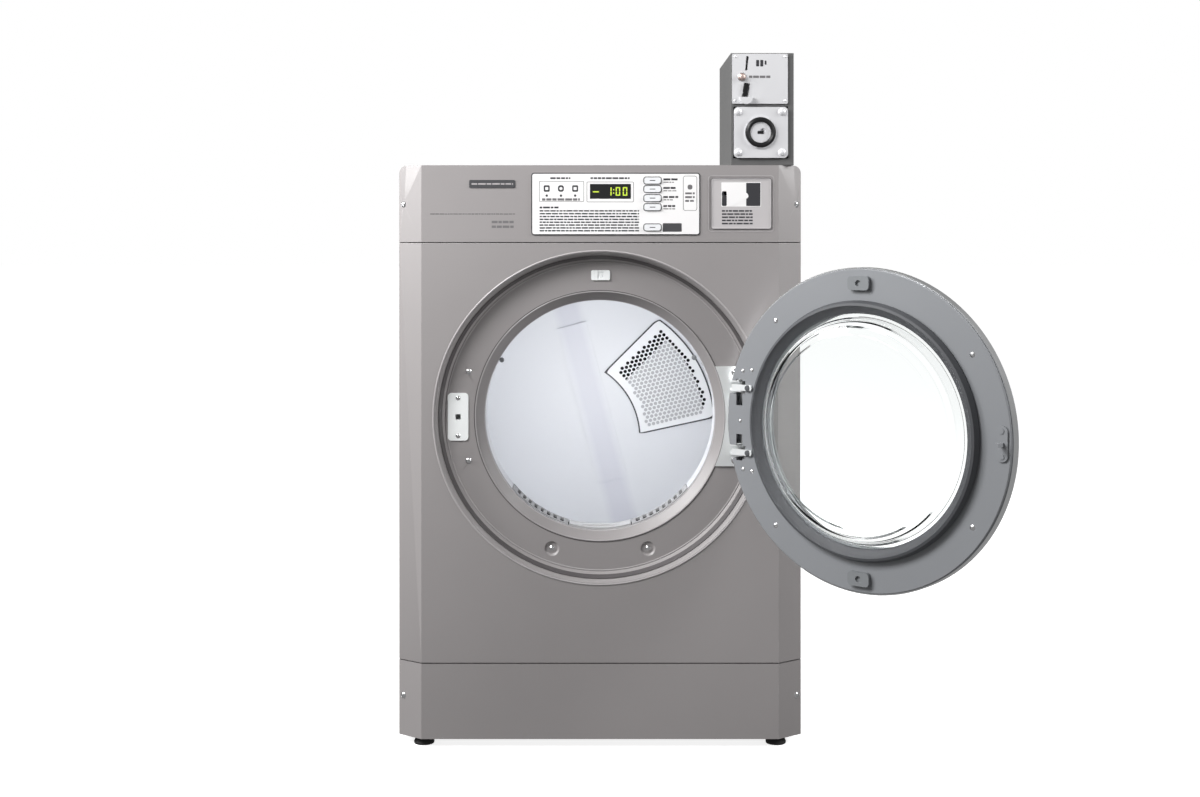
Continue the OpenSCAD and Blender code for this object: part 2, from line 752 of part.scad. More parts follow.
// ---------- drive ----------
module motor() {
  color("#6d7074") from_floor() difference() {
    union() {
      rod(motor_x, motor_z, motor_r, 226, 386);
      for (h = [240, 366]) rod(motor_x, motor_z, motor_r + 4, h, h + 6);
      for (h = [250, 350]) box([motor_x - 52, motor_x + 52], [skirt_z + sheet, motor_z - 30], [h, h + 8]);
    }
    rod(motor_x, motor_z, shaft_r + 0.06, 220, 400);
    for (h = [250, 350]) box([motor_x - 30, motor_x + 30], [skirt_z + 10, motor_z - motor_r - 12], [h - 1, h + 9]);
  }
}

module motor_pulley() {
  color("#9da1a5") from_floor() {
    rod(motor_x, motor_z, shaft_r, 132, belt_h + 20);
    difference() {
      union() {
        rod(motor_x, motor_z, pulley_r, belt_h - 8, belt_h + 20);
        for (h = [belt_h - 8, belt_h + belt_w + 2]) rod(motor_x, motor_z, pulley_r + 6, h, h + 4);
      }
      rod(motor_x, motor_z, shaft_r - 1, belt_h + 21, belt_h + 22);
    }
  }
}

module blower_wheel() {
  color("#54575a") from_floor() {
    difference() {
      rod(motor_x, motor_z, wheel_r, 190, 194);
      rod(motor_x, motor_z, shaft_r, 180, 200);
    }
    difference() {
      rod(motor_x, motor_z, 13, 150, 192);
      rod(motor_x, motor_z, shaft_r, 140, 200);
    }
    for (k = [0:23]) translate([motor_x, front_y + 124, motor_z]) rotate([0, k * 15, 0])
      translate([wheel_r - 15, 0, -0.8]) rotate([0, 18, 0]) cube([13, 67, 1.6]);
    difference() {
      rod(motor_x, motor_z, wheel_r, 122, 126);
      rod(motor_x, motor_z, wheel_r - 17, 120, 130);
    }
  }
}

// Belt round the drum and the motor pulley, with a small running gap on both.
belt_r1 = drum_r + belt_gap;
belt_r2 = pulley_r + belt_gap;
belt_l = norm([motor_x, axis_z - motor_z]);
belt_tilt = atan2(motor_x, axis_z - motor_z);
belt_a = acos((belt_r1 - belt_r2) / belt_l);
belt_run = belt_l * sin(belt_a);
// The part of the belt that lies on a circle of radius r, from angle a0 over a turn of da.
module belt_arc(r, a0, da) {
  rotate(a0) rotate_extrude(angle = da) translate([r, 0]) square([belt_t, belt_w]);
}
module drive_belt() {
  color("#222222") from_floor() translate([0, front_y + belt_h, axis_z]) rotate([-90, 0, 0]) rotate(90 - belt_tilt) {
    belt_arc(belt_r1, belt_a - 0.4, 360.8 - 2 * belt_a);
    translate([belt_l, 0]) belt_arc(belt_r2, -belt_a - 4, 2 * belt_a + 8);
    for (s = [-1, 1]) rotate(s * belt_a)
      translate([belt_r1 + 0.2, s > 0 ? -belt_run - 0.5 : -0.5, 0.2])
        cube([belt_t - 0.4, belt_run + 1, belt_w - 0.4]);
  }
}

module idler_arm() {
  d = idler_at - arm_pivot;
  l = norm(d);
  color("#8f9396") from_floor() {
    translate([arm_pivot[0], front_y + belt_h - 10, arm_pivot[1]]) rotate([0, -atan2(d[1], d[0]), 0])
      difference() {
        union() {
          translate([0, 0, -8]) cube([l, 4, 16]);
          rotate([-90, 0, 0]) cylinder(r = 12, h = 4, $fn = fine);
          translate([l, 0, 0]) rotate([-90, 0, 0]) cylinder(r = 8, h = 4, $fn = fine);
        }
        translate([0, -1, 0]) rotate([-90, 0, 0]) cylinder(r = 5.06, h = 8, $fn = fine);
      }
    rod(idler_at[0], idler_at[1], idler_pin, belt_h - 10, belt_h + belt_w + 6);
    rod(idler_at[0], idler_at[1], idler_pin + 3, belt_h + belt_w + 5.5, belt_h + belt_w + 8);
  }
}

module idler_pulley() {
  color("#d8d5cc") from_floor() difference() {
    union() {
      rod(idler_at[0], idler_at[1], idler_r, belt_h - 4, belt_h + belt_w + 4);
    }
    rod(idler_at[0], idler_at[1], idler_bore, belt_h - 20, belt_h + 40);
  }
}

module drum_roller(s) {
  difference() {
    union() {
      rod(s * roller_x, roller_z, roller_r, bulk_rear - 36, bulk_rear - 14);
      rod(s * roller_x, roller_z, 12, bulk_rear - 40, bulk_rear - 7);
    }
    rod(s * roller_x, roller_z, roller_bore, bulk_rear - 60, bulk_rear + 20);
    for (k = [0:5]) translate([s * roller_x, front_y + bulk_rear - 25, roller_z]) rotate([0, k * 60, 0])
      translate([22, 0, 0]) rotate([90, 0, 0]) cylinder(r = 5, h = 40, center = true, $fn = 24);
  }
}
module left_roller() { color("#3a3c3e") from_floor() drum_roller(-1); }
module right_roller() { color("#3a3c3e") from_floor() drum_roller(1); }

module terminal_cover() {
  color("#a6a3a3") from_floor() difference() {
    box([185, 285], [60, 175], [cab_d, cab_d + 26]);
    box([187, 283], [62, 173], [cab_d - 1, cab_d + 24]);
    translate([235, front_y + cab_d + 13, 50]) cylinder(r = 9.5, h = 20, $fn = fine);
  }
}

// ---------- coin box ----------
module coin_case() {
  y0 = front_y + coin_front;
  color("#737373") from_floor() difference() {
    translate([coin_x, y0, cab_h + 0.05]) cube([coin_w, coin_d, coin_h]);
    translate([coin_x + 2, y0 + 2, cab_h + 2]) cube([coin_w - 4, coin_d - 4, coin_h - 4]);
    box(plate_x + [4, -4], mech_z + [2, -4], [0, coin_front + 10]);
    box(vault_x + [-0.8, 0.8], vault_z + [-0.8, 0.8], [0, coin_front + 10]);
    translate([coin_x + 40, front_y + 120, cab_h - 5]) cylinder(r = 12, h = 10);
  }
}

module coin_face_plate() {
  t = 3;
  h0 = coin_front - t;
  color("#c8c9cb") from_floor() {
    difference() {
      slab(h0, t) round_rect(plate_x[0], plate_x[1], mech_z[0], mech_z[1], 2);
      translate([248.4, front_y + h0, 1156]) rotate([0, 8, 0]) cube([3, 20, 24], center = true);
      rod(return_at[0], return_at[1], 5.2, -5, 20);
      translate([246.4, front_y + h0, 1110]) rotate([0, 10, 0]) cube([10, 20, 26], center = true);
    }
    difference() {
      box([236, 258], [1090.5, 1125], [coin_front - eps, coin_front + 26]);
      box([238, 256], [1092.5, 1123], [coin_front - 2, coin_front + 24]);
    }
    difference() {
      rod(247, 1098, 11, h0 - 7, h0 + eps);
      rod(247, 1099, 9, h0 - 5.5, h0 + 1);
      box([230, 265], [1099, 1112], [h0 - 9, h0]);
    }
    for (x = plate_x + [5, -5], z = mech_z + [5, -5]) dome(x, z, 2.4, h0, 1.2);
  }
}

module coin_return_button() {
  h0 = coin_front - 3;
  color("#b89a92") from_floor() {
    rod(return_at[0], return_at[1], 4.7, h0 - 6, coin_front + 8);
    dome(return_at[0], return_at[1], 4.7, h0 - 6 + eps, 1.5);
    rod(return_at[0], return_at[1], 7, coin_front + 3.4, coin_front + 8);
  }
}

module vault_door() {
  h0 = coin_front - 4.5;
  color("#cfd0d2") from_floor() {
    difference() {
      slab(h0, 5.5) round_rect(vault_x[0], vault_x[1], vault_z[0], vault_z[1], 7);
      rod(lock_at[0], lock_at[1], 16.4, h0 - 1, h0 + 4);
      rod(lock_at[0], lock_at[1], 12.06, h0 - 1, h0 + 10);
    }
    difference() {
      rod(lock_at[0], lock_at[1], 27, h0 - 2.4, h0 + eps);
      rod(lock_at[0], lock_at[1], 16.4, h0 - 5, h0 + 2);
    }
    for (x = [233.2, 307.7], z = [1005.6, 1074]) dome(x, z, 6.8, h0, 4);
  }
}

module lock_cylinder() {
  h0 = coin_front - 4.5;
  color("#b9bbbd") from_floor() difference() {
    union() {
      rod(lock_at[0], lock_at[1], 16, h0 - 1.4, h0 + 3.7);
      rod(lock_at[0], lock_at[1], 12, h0 + 3.6, h0 + 9);
    }
    rod(lock_at[0] + 4, lock_at[1] + 2, 5, h0 - 3, h0 + 1);
    box(around(lock_at[0] + 4, 0.8), around(lock_at[1] + 2, 3.4), [h0 - 3, h0 + 4]);
  }
}

module cash_box() {
  x = vault_x + [4, -4];
  z = vault_z + [4, -6];
  color("#8d8f91") from_floor() difference() {
    box(x, z, [coin_front + 1, coin_front + 190]);
    box(x + [1.5, -1.5], [z[0] + 1.5, z[1] + 5], [coin_front + 2.5, coin_front + 188.5]);
    rod(lock_at[0], lock_at[1], 13, 0, 12);
  }
}

// ---------- door, drawn shut and turned open ----------
// Space for the hinge lugs at the door's edge, seen by every ring of the door.
module hinge_pockets() {
  for (s = [-1, 1]) box([220, 270], around(axis_z + s * strap_z, 11), [-18.1, 20]);
}

module door_rim() {
  color("#c7c9cb") from_floor() swung() difference() {
    round_about_axis() polygon([
      [door_r, 10], [door_r, -5], [252, -14], [240, -20], [215, -28], [192, -28], [188, -24],
      [188, -20], [190, -20], [190, -23.2], [192.8, -26], [214.6, -26], [239.2, -18.1],
      [250.6, -12.4], [door_r - 2, -4.2], [door_r - 2, 10]
    ]);
    hinge_pockets();
  }
}

module door_inner_frame() {
  h = door_face_h;
  color("#8e9093") from_floor() swung() difference() {
    round_about_axis() polygon([
      [192, -18], [192, h - 2], [253.5, h - 2], [253.5, -3], [255.7, -3], [255.7, h - 1.5],
      [254.2, h], [190, h], [190, -18]
    ]);
    hinge_pockets();
    for (p = liner_screws) rod(p[0], axis_z + p[1], p[2] * shank + 0.1, h - 8, h + 2);
    for (s = [-1, 1], a = [[24, 43], [61, 68]])
      box([226, 238.4], s > 0 ? [axis_z + a[0], axis_z + a[1]] : [axis_z - a[1], axis_z - a[0]], [h - 10, h + 5]);
  }
}

module door_glass() {
  g = 4;
  color("#cfd6d8") from_floor() swung() round_about_axis() polygon([
    [0, bowl_h - g], [152, bowl_h - g], [163, bowl_h - 7], [170, bowl_h - 14], [176, 11], [189.6, 11],
    [189.6, 11 + g], [180.5, 11 + g], [174.4, bowl_h - 12.6], [167, bowl_h - 3.6], [154, bowl_h], [0, bowl_h]
  ]);
}

module door_gasket() {
  h = door_face_h;
  color("#55565a") from_floor() swung() round_about_axis() polygon([
    [glass_r, 15.2], [190.2, 15.2], [190.2, h + eps], [gasket_r - 1, h + eps], [gasket_r, h + 4], [202, 27.5],
    [198, 29], [194, 25], [glass_r + 1.5, 19]
  ]);
}

module hinge_straps() {
  h = door_face_h;
  color("#dfe2e3") from_floor() swung() for (s = [-1, 1]) translate([0, 0, axis_z + s * strap_z - knuckle_h]) {
    difference() {
      union() {
        translate([hinge_x, front_y - hinge_out, 0]) cylinder(r = knuckle_r, h = 2 * knuckle_h, $fn = fine);
        translate([hinge_x - 6.5, front_y - hinge_out, 0]) cube([6, hinge_out + h + 1, 2 * knuckle_h]);
        translate([gasket_r + 0.6, front_y + h + 0.02, 0]) cube([246 - gasket_r - 0.6, 3, 2 * knuckle_h]);
      }
      translate([hinge_x, front_y - hinge_out, -1]) cylinder(r = pin_bore, h = 2 * knuckle_h + 2, $fn = fine);
    }
    translate([208, front_y + h + 3, knuckle_h]) rotate([-90, 0, 0]) cylinder(r = 3.6, h = 2, $fn = fine);
  }
}

// A screw facing the cabinet, at u across the door (hinge side positive) and v above its middle.
module door_screw(u, v, r) {
  translate([0, 2 * front_y + door_face_h * 2, 0]) mirror([0, 1, 0])
    screw(u, axis_z + v, r, door_face_h, 1.8);
}
module door_screws() {
  color("#c4c6c8") from_floor() swung() for (p = liner_screws) door_screw(p[0], p[1], p[2]);
}

module door_bumpers() {
  h = door_face_h;
  color("#7f8184") from_floor() swung() for (s = [-1, 1]) difference() {
    slab(h + 0.02, 8) round_rect(-19, 19, axis_z + s * 233 - 11, axis_z + s * 233 + 11, 6);
    rod(0, axis_z + s * 233, 5, h + 4, h + 20);
  }
}

module door_latch() {
  h = door_face_h;
  color("#8b8d90") from_floor() swung() {
    slab(h + 0.02, 3) round_rect(-250, -231, axis_z - 27, axis_z + 27, 9);
    box([-244.6, -239.4], [553.2, 559], [h + 2, h + 22]);
    box([-244.6, -239.4], [553.2, 560], [h + 18, h + 22]);
    for (s = [-1, 1]) rod(-240.5, axis_z + s * 19, 4.2, h + 2, h + 4.2);
  }
}

base_pan();
left_side_panel();
right_side_panel();
rear_panel();
top_plate();
front_panel();
kick_panel();
console();
panel_screws();
levelling_feet();
console_overlay();
display_window();
card_plate();
name_plaque();
control_board();
hinge_plate();
strike_plate();
front_screws();
door_switch();
front_bulkhead();
drum_seals();
rear_bulkhead();
air_inlet_grille();
outlet_grille();
filter_duct();
blower_housing();
exhaust_duct();
heater_box();
motor();
drive_belt();
terminal_cover();
coin_case();
coin_face_plate();
door_rim();
door_inner_frame();
door_glass();
door_gasket();
hinge_straps();
door_screws();
door_bumpers();
door_latch();
drum_shell();
drum_vanes();
motor_pulley();
blower_wheel();
idler_arm();
idler_pulley();
left_roller();
right_roller();
lint_filter();
button_1();
button_2();
button_3();
button_4();
start_button();
coin_return_button();
vault_door();
cash_box();
lock_cylinder();
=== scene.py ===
# %% [markdown]
# # A shared-laundry tumble dryer
# The dryer arrives from the CAD as named solids that already stand in the right place:
# cabinet, door, drum, drive and coin box. This lesson gives each of them its finish and adds
# the fine things that a solid model leaves out, such as printed keys, beads and punched holes.

# %% Load the frame
import math
import bpy
import bmesh
from mathutils import Matrix, Vector


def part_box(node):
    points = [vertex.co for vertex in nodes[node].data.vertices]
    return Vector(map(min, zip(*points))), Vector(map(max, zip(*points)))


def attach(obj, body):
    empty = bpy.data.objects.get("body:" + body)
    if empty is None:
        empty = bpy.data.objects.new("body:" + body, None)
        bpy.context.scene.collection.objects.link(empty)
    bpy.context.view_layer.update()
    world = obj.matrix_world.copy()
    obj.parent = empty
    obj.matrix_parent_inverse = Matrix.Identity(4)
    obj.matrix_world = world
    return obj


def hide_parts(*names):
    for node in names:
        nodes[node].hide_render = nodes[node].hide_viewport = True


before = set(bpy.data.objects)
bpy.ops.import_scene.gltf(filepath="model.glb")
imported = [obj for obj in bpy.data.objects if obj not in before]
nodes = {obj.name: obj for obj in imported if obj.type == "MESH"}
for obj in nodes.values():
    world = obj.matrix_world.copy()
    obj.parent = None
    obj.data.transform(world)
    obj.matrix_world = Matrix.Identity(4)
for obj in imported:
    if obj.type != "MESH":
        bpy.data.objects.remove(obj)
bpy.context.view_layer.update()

# %% [markdown]
# ## Where things are
# Every size is read back from the solids, so that a change in the CAD carries through.
# The front sheet gives the front plane, the drum gives the axis that the whole front is
# drawn about, and the feet give the floor.

# %% Landmarks
def box(node):
    lo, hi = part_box(node)
    return Vector(lo), Vector(hi)


front_lo, front_hi = box("front_panel")
drum_lo, drum_hi = box("drum_shell")
FRONT = front_lo.y                        # the flat front of the cabinet
REAR = box("rear_panel")[1].y
AXIS_Z = (drum_lo.z + drum_hi.z) / 2      # height of the drum's axis
FLOOR = box("levelling_feet")[0].z
MM = 0.001
print("front", round(FRONT, 4), "axis", round(AXIS_Z, 4), "floor", round(FLOOR, 4))

# %% [markdown]
# ## Camera
# The machine is seen straight on from a standing person's chest height. The camera stays level,
# so that upright edges stay upright, and the frame is shifted down instead of tilting it.

# %% Camera
EYE_HEIGHT = 0.866
EYE_DISTANCE = 2.65
camera_data = bpy.data.cameras.new("eye")
camera_data.lens = 47.04
camera_data.sensor_width = 36
camera_data.shift_y = -0.13625
camera_data.clip_start = 0.05
camera = bpy.data.objects.new("eye", camera_data)
bpy.context.scene.collection.objects.link(camera)
camera.location = (0, FRONT - EYE_DISTANCE, FLOOR + EYE_HEIGHT)
camera.rotation_euler = (math.radians(90), 0, 0)
bpy.context.scene.camera = camera
print("camera at", [round(v, 3) for v in camera.location])

# %% [markdown]
# ## Studio
# A catalogue picture of grey enamel is lit from high on the left, so that the front fades from
# light at the top to dark at the foot, with a weak light from the right that picks out the slanted
# corner. The sweep behind is burnt out to white: the floor glows a little of its own, and is hidden
# from diffuse rays, or it would light the machine from below and flatten that fade.

# %% Floor and world
bpy.ops.object.select_all(action="DESELECT")
bpy.ops.mesh.primitive_plane_add(size=60, location=(0, 10, FLOOR - 0.0005))
floor = bpy.context.object
floor.name = "studio_floor"
floor.visible_diffuse = floor.visible_glossy = False

world = bpy.context.scene.world or bpy.data.worlds.new("studio")
bpy.context.scene.world = world
world.use_nodes = True
sky = world.node_tree
ambient = sky.nodes["Background"]
ambient.inputs["Color"].default_value = (1.0, 1.0, 1.0, 1)
ambient.inputs["Strength"].default_value = AMBIENT = 0.27
backdrop = sky.nodes.new("ShaderNodeBackground")
backdrop.inputs["Color"].default_value = (1.0, 1.0, 1.0, 1)
backdrop.inputs["Strength"].default_value = 1.0
rays = sky.nodes.new("ShaderNodeLightPath")
seen = sky.nodes.new("ShaderNodeMath")
seen.operation = "MAXIMUM"
sky.links.new(rays.outputs["Is Camera Ray"], seen.inputs[0])
sky.links.new(rays.outputs["Is Transmission Ray"], seen.inputs[1])
choose = sky.nodes.new("ShaderNodeMixShader")
sky.links.new(seen.outputs[0], choose.inputs[0])
sky.links.new(ambient.outputs[0], choose.inputs[1])
sky.links.new(backdrop.outputs[0], choose.inputs[2])
sky.links.new(choose.outputs[0], sky.nodes["World Output"].inputs["Surface"])
print("ambient light", AMBIENT)


# %% Lights
def softbox(name, where, aim, size, power):
    data = bpy.data.lights.new(name, "AREA")
    data.shape = "RECTANGLE"
    data.size, data.size_y = size
    data.energy = power
    lamp = bpy.data.objects.new(name, data)
    bpy.context.scene.collection.objects.link(lamp)
    lamp.location = where
    lamp.rotation_euler = (Vector(aim) - Vector(where)).to_track_quat("-Z", "Y").to_euler()
    lamp.visible_camera = False
    return lamp


softbox("key_light", (-1.35, -1.55, 2.15), (0, 0, 0.75), (1.0, 0.9), 60)
softbox("left_strip", (-2.0, -0.9, 1.65), (-0.34, -0.35, 0.7), (0.5, 1.2), 34)
softbox("right_strip", (2.0, -0.9, 1.65), (0.34, -0.35, 0.75), (0.5, 1.2), 34)
softbox("top_light", (0.1, 0.4, 3.0), (0, 0, 0.6), (2.2, 1.6), 26)
inside = softbox("drum_light", (0, FRONT + 0.16, AXIS_Z), (0, REAR, AXIS_Z), (0.2, 0.2), 1.15)
inside.data.shape = "DISK"
for ray in ("visible_glossy", "visible_transmission"):
    setattr(inside, ray, False)
bpy.context.scene.view_settings.view_transform = "Standard"

# %% [markdown]
# ## Shader maths
# Patterns such as speckle, wear or a grid of holes are sums of simple masks. Wrapping a socket in
# a small class lets them be written as ordinary expressions, so the recipe reads as a formula.

# %% A socket that does arithmetic
class Wire:
    def __init__(self, mat, socket):
        self.mat, self.socket = mat, socket

    def _math(self, operation, a, b=None):
        node = self.mat.tree.nodes.new("ShaderNodeMath")
        node.operation = operation
        for k, v in enumerate((a, b)):
            if isinstance(v, Wire):
                self.mat.tree.links.new(v.socket, node.inputs[k])
            elif v is not None:
                node.inputs[k].default_value = v
        return Wire(self.mat, node.outputs[0])

    def __add__(self, o): return self._math("ADD", self, o)
    def __radd__(self, o): return self._math("ADD", o, self)
    def __sub__(self, o): return self._math("SUBTRACT", self, o)
    def __rsub__(self, o): return self._math("SUBTRACT", o, self)
    def __mul__(self, o): return self._math("MULTIPLY", self, o)
    def __rmul__(self, o): return self._math("MULTIPLY", o, self)
    def abs(self): return self._math("ABSOLUTE", self)


class Finish:
    """A material built round one Principled shader."""

    def __init__(self, name, color, rough, metal=0.0, **sockets):
        self.m = bpy.data.materials.new(name)
        self.m.use_nodes = True
        self.tree = self.m.node_tree
        self.shader = self.tree.nodes["Principled BSDF"]
        self.m.diffuse_color = (*color, 1)
        self.set("Base Color", (*color, 1))
        self.set("Roughness", rough)
        self.set("Metallic", metal)
        for key, value in sockets.items():
            self.set(key.replace("_", " "), value)
        self.place = self.node("ShaderNodeTexCoord")

    def node(self, kind, settings=None, **values):
        n = self.tree.nodes.new(kind)
        for key, value in (settings or {}).items():
            setattr(n, key, value)
        for key, value in values.items():
            spot = n.inputs[key.replace("_", " ")]
            if isinstance(value, Wire):
                self.tree.links.new(value.socket, spot)
            else:
                spot.default_value = value
        return n

    def wire(self, n, output=0):
        return Wire(self, n.outputs[output])

    @property
    def at(self):
        return self.wire(self.place, "Object")

    def xyz(self):
        n = self.node("ShaderNodeSeparateXYZ", Vector=self.at)
        return [self.wire(n, k) for k in range(3)]

    def stretched(self, x, y, z):
        return self.wire(self.node("ShaderNodeMapping", Vector=self.at, Scale=(x, y, z)))

    def noise(self, scale, detail=3.0, rough=0.5, at=None):
        n = self.node("ShaderNodeTexNoise", Vector=at or self.at, Scale=scale, Detail=detail,
                      Roughness=rough)
        return self.wire(n, 0)

    def ramp(self, value, *stops):
        n = self.node("ShaderNodeValToRGB", Fac=value)
        while len(n.color_ramp.elements) < len(stops):
            n.color_ramp.elements.new(0.5)
        for e, (p, c) in zip(n.color_ramp.elements, stops):
            e.position, e.color = p, (c, c, c, 1) if isinstance(c, float) else (*c, 1)
        return self.wire(n, 0)

    def mix(self, fac, a, b):
        n = self.tree.nodes.new("ShaderNodeMix")
        n.data_type = "RGBA"
        for k, v in ((0, fac), (6, a), (7, b)):
            if isinstance(v, Wire):
                self.tree.links.new(v.socket, n.inputs[k])
            else:
                n.inputs[k].default_value = v if k == 0 else (*v, 1)
        return Wire(self, n.outputs[2])

    def set(self, socket, value):
        if isinstance(value, Wire):
            self.tree.links.new(value.socket, self.shader.inputs[socket])
        else:
            self.shader.inputs[socket].default_value = value

    def bump(self, height, strength, distance=0.001):
        n = self.node("ShaderNodeBump", Height=height, Strength=strength, Distance=distance)
        self.set("Normal", self.wire(n))


sweep = Finish("studio_sweep", (0.82, 0.82, 0.82), 0.9, Emission_Strength=0.80)
sweep.set("Emission Color", (1, 1, 1, 1))
floor.data.materials.append(sweep.m)
print("shader helpers ready")

# %% [markdown]
# ## Finishes
# The cabinet is sheet steel with a baked warm grey enamel: an almost invisible orange-peel bump,
# a slight variation of tone, and a little grime in the sheen. The same recipe with other
# numbers makes the pale coat in the drum chamber and the darker case of the coin box.

# %% Enamels
def enamel(name, color, rough, peel=0.25, mottled=0.05, coat=0.15):
    f = Finish(name, color, rough, Coat_Weight=coat, Coat_Roughness=0.25)
    tone = f.noise(2.2, 4)
    fine = f.noise(420, 2)
    grime = f.noise(9, 5, 0.6)
    dark = [c * (1 - mottled) for c in color]
    light = [min(1, c * (1 + mottled)) for c in color]
    f.set("Base Color", f.mix(f.ramp(tone, (0.3, 0.0), (0.7, 1.0)), dark, light))
    f.set("Roughness", rough - 0.05 + 0.1 * grime)
    f.bump(fine + 0.35 * f.noise(1400, 1), peel, 0.00012)
    return f


cabinet_enamel = enamel("warm_grey_enamel", (0.300, 0.283, 0.283), 0.42)
side_enamel = enamel("side_panel_enamel", (0.30, 0.285, 0.285), 0.48)
liner_enamel = enamel("pale_drum_coat", (0.74, 0.75, 0.78), 0.38, 0.15, 0.02)
# Near-black enamel for painted shade in grooves and at steps.
painted_shade_enamel = enamel("painted_groove_shade", (0.085, 0.078, 0.080), 0.5, 0.2, 0.04, 0.05)
# A paler copy of the cabinet enamel: it paints the highlight on the turned beads and round the card
# bezel, and is also the pale print on the plaque.
highlight_and_print_enamel = enamel("highlight_and_print_enamel", (0.40, 0.38, 0.385), 0.32, 0.1, 0.03)
coin_enamel = enamel("coin_box_enamel", (0.11, 0.11, 0.11), 0.5, 0.5)
# The rear wall has a pressed rib that leans 15 degrees; a darker, bluer band along it is a painted
# reflection.
rear_wall = enamel("rear_wall_coat", (0.76, 0.775, 0.80), 0.36, 0.12, 0.02)
wall_x, _, wall_z = rear_wall.xyz()
lean = math.radians(15)
across = (wall_x + 0.016) * math.cos(lean) + (wall_z - (FLOOR + 0.52)) * math.sin(lean)
rib_painted_reflection = rear_wall.ramp(across.abs() * 16.0, (0.24, 1.0), (0.54, 0.0))
rear_wall.set("Base Color", rear_wall.mix(rib_painted_reflection, (0.76, 0.775, 0.80), (0.675, 0.685, 0.735)))
board_green = enamel("circuit_board", (0.03, 0.14, 0.06), 0.5, 0.1)
motor_paint = enamel("motor_paint", (0.13, 0.135, 0.14), 0.5, 0.5)

# %% [markdown]
# Brushed plates keep the long scratches of the belt grinder. Noise stretched along one direction
# gives them; it moves the roughness and a very shallow bump, never the outline.

# %% Metals
def brushed(name, color, rough, along=(3, 3, 900), depth=0.05, metal=1.0):
    f = Finish(name, color, rough, metal)
    lines = f.noise(1.0, 2, 0.6, f.stretched(*along))
    smear = f.noise(14, 4)
    f.set("Roughness", rough - 0.06 + 0.1 * lines + 0.06 * smear)
    f.set("Base Color", f.mix(smear, [c * 0.93 for c in color], [min(1, c * 1.04) for c in color]))
    f.bump(lines, depth, 0.0002)
    return f


bright_zinc = brushed("bright_zinc", (0.86, 0.88, 0.88), 0.34, (60, 60, 60), metal=0.45)
vault_steel = brushed("vault_steel", (0.76, 0.76, 0.78), 0.34, (900, 3, 3), metal=0.25)
duct_steel = brushed("galvanised_duct", (0.62, 0.64, 0.66), 0.42, (30, 30, 30))
screw_steel = brushed("screw_steel", (0.78, 0.78, 0.79), 0.24, (40, 40, 40))
rim_chrome = brushed("rim_chrome", (0.90, 0.91, 0.92), 0.2, (20, 20, 20), 0.01)
copper_button = brushed("return_button_metal", (0.66, 0.52, 0.48), 0.5, (40, 40, 40))

# %% [markdown]
# Moulded plastics and rubber are fine-grained and matt. The spark-eroded mould leaves a pebble
# texture on the door liner; the seal rubber is darker, with a dull bloom where hands touch it.

# %% Plastics and rubber
def moulded(name, color, rough, grain=900, depth=0.15, coat=0.0):
    f = Finish(name, color, rough, Coat_Weight=coat, Coat_Roughness=0.1)
    wear = f.noise(6, 4)
    f.set("Base Color", f.mix(wear, [c * 0.92 for c in color], [min(1, c * 1.06) for c in color]))
    f.set("Roughness", rough - 0.04 + 0.08 * f.noise(30, 3))
    f.bump(f.noise(grain, 2), depth, 0.0002)
    return f


liner_plastic = moulded("door_liner_plastic", (0.235, 0.243, 0.257), 0.5)
pad_plastic = moulded("bumper_plastic", (0.20, 0.21, 0.22), 0.55)
seal_rubber = moulded("seal_rubber", (0.075, 0.078, 0.085), 0.62, 500, 0.25)
foot_rubber = moulded("foot_rubber", (0.02, 0.02, 0.02), 0.7, 500, 0.3)
white_key = moulded("white_key", (0.83, 0.84, 0.86), 0.3, 700, 0.05, 0.3)
white_fitting = moulded("white_fitting", (0.92, 0.94, 0.94), 0.4, 700, 0.08)
black_gloss = moulded("black_gloss", (0.012, 0.012, 0.013), 0.12, 700, 0.01, 0.5)
dark_label = moulded("dark_label", (0.07, 0.07, 0.075), 0.3, 700, 0.02)
overlay_film = moulded("overlay_film", (0.88, 0.87, 0.87), 0.4, 1200, 0.05)
felt = moulded("wool_felt", (0.2, 0.19, 0.17), 0.95, 300, 0.8)
# Near black: painted shade in the filter duct seen through the outlet slots.
painted_duct_shade = moulded("painted_duct_shade", (0.03, 0.03, 0.032), 0.7, 400, 0.1)
outlet_grey = moulded("outlet_grey", (0.40, 0.40, 0.41), 0.45, 700, 0.1)
filter_grey = moulded("filter_handle_grey", (0.56, 0.56, 0.57), 0.45, 700, 0.1)
card_paper = moulded("card_paper", (0.50, 0.48, 0.485), 0.5, 900, 0.05)

glass = Finish("pressed_glass", (0.96, 0.985, 0.98), 0.02, Transmission_Weight=1.0, IOR=1.47)
glass.bump(glass.noise(5, 2), 0.003, 0.001)

# %% Give each CAD node its finish
FINISHES = {
    cabinet_enamel: "front_panel kick_panel console",
    side_enamel: "left_side_panel right_side_panel rear_panel top_plate base_pan terminal_cover",
    rear_wall: "rear_bulkhead",
    liner_enamel: "front_bulkhead drum_shell drum_vanes",
    coin_enamel: "coin_case",
    board_green: "control_board",
    motor_paint: "motor",
    bright_zinc: "hinge_plate hinge_straps",
    vault_steel: "coin_face_plate vault_door lock_cylinder cash_box",
    painted_duct_shade: "filter_duct",
    outlet_grey: "outlet_grille",
    filter_grey: "lint_filter",
    duct_steel: "exhaust_duct blower_housing heater_box idler_arm motor_pulley",
    screw_steel: "panel_screws front_screws door_screws",
    rim_chrome: "door_rim",
    copper_button: "coin_return_button",
    liner_plastic: "door_inner_frame door_latch",
    pad_plastic: "door_bumpers",
    seal_rubber: "door_gasket drive_belt left_roller right_roller",
    foot_rubber: "levelling_feet",
    white_key: "button_1 button_2 button_3 button_4 start_button",
    white_fitting: "strike_plate door_switch idler_pulley air_inlet_grille",
    black_gloss: "display_window blower_wheel",
    dark_label: "name_plaque",
    overlay_film: "console_overlay",
    card_paper: "card_plate",
    felt: "drum_seals",
    glass: "door_glass",
}
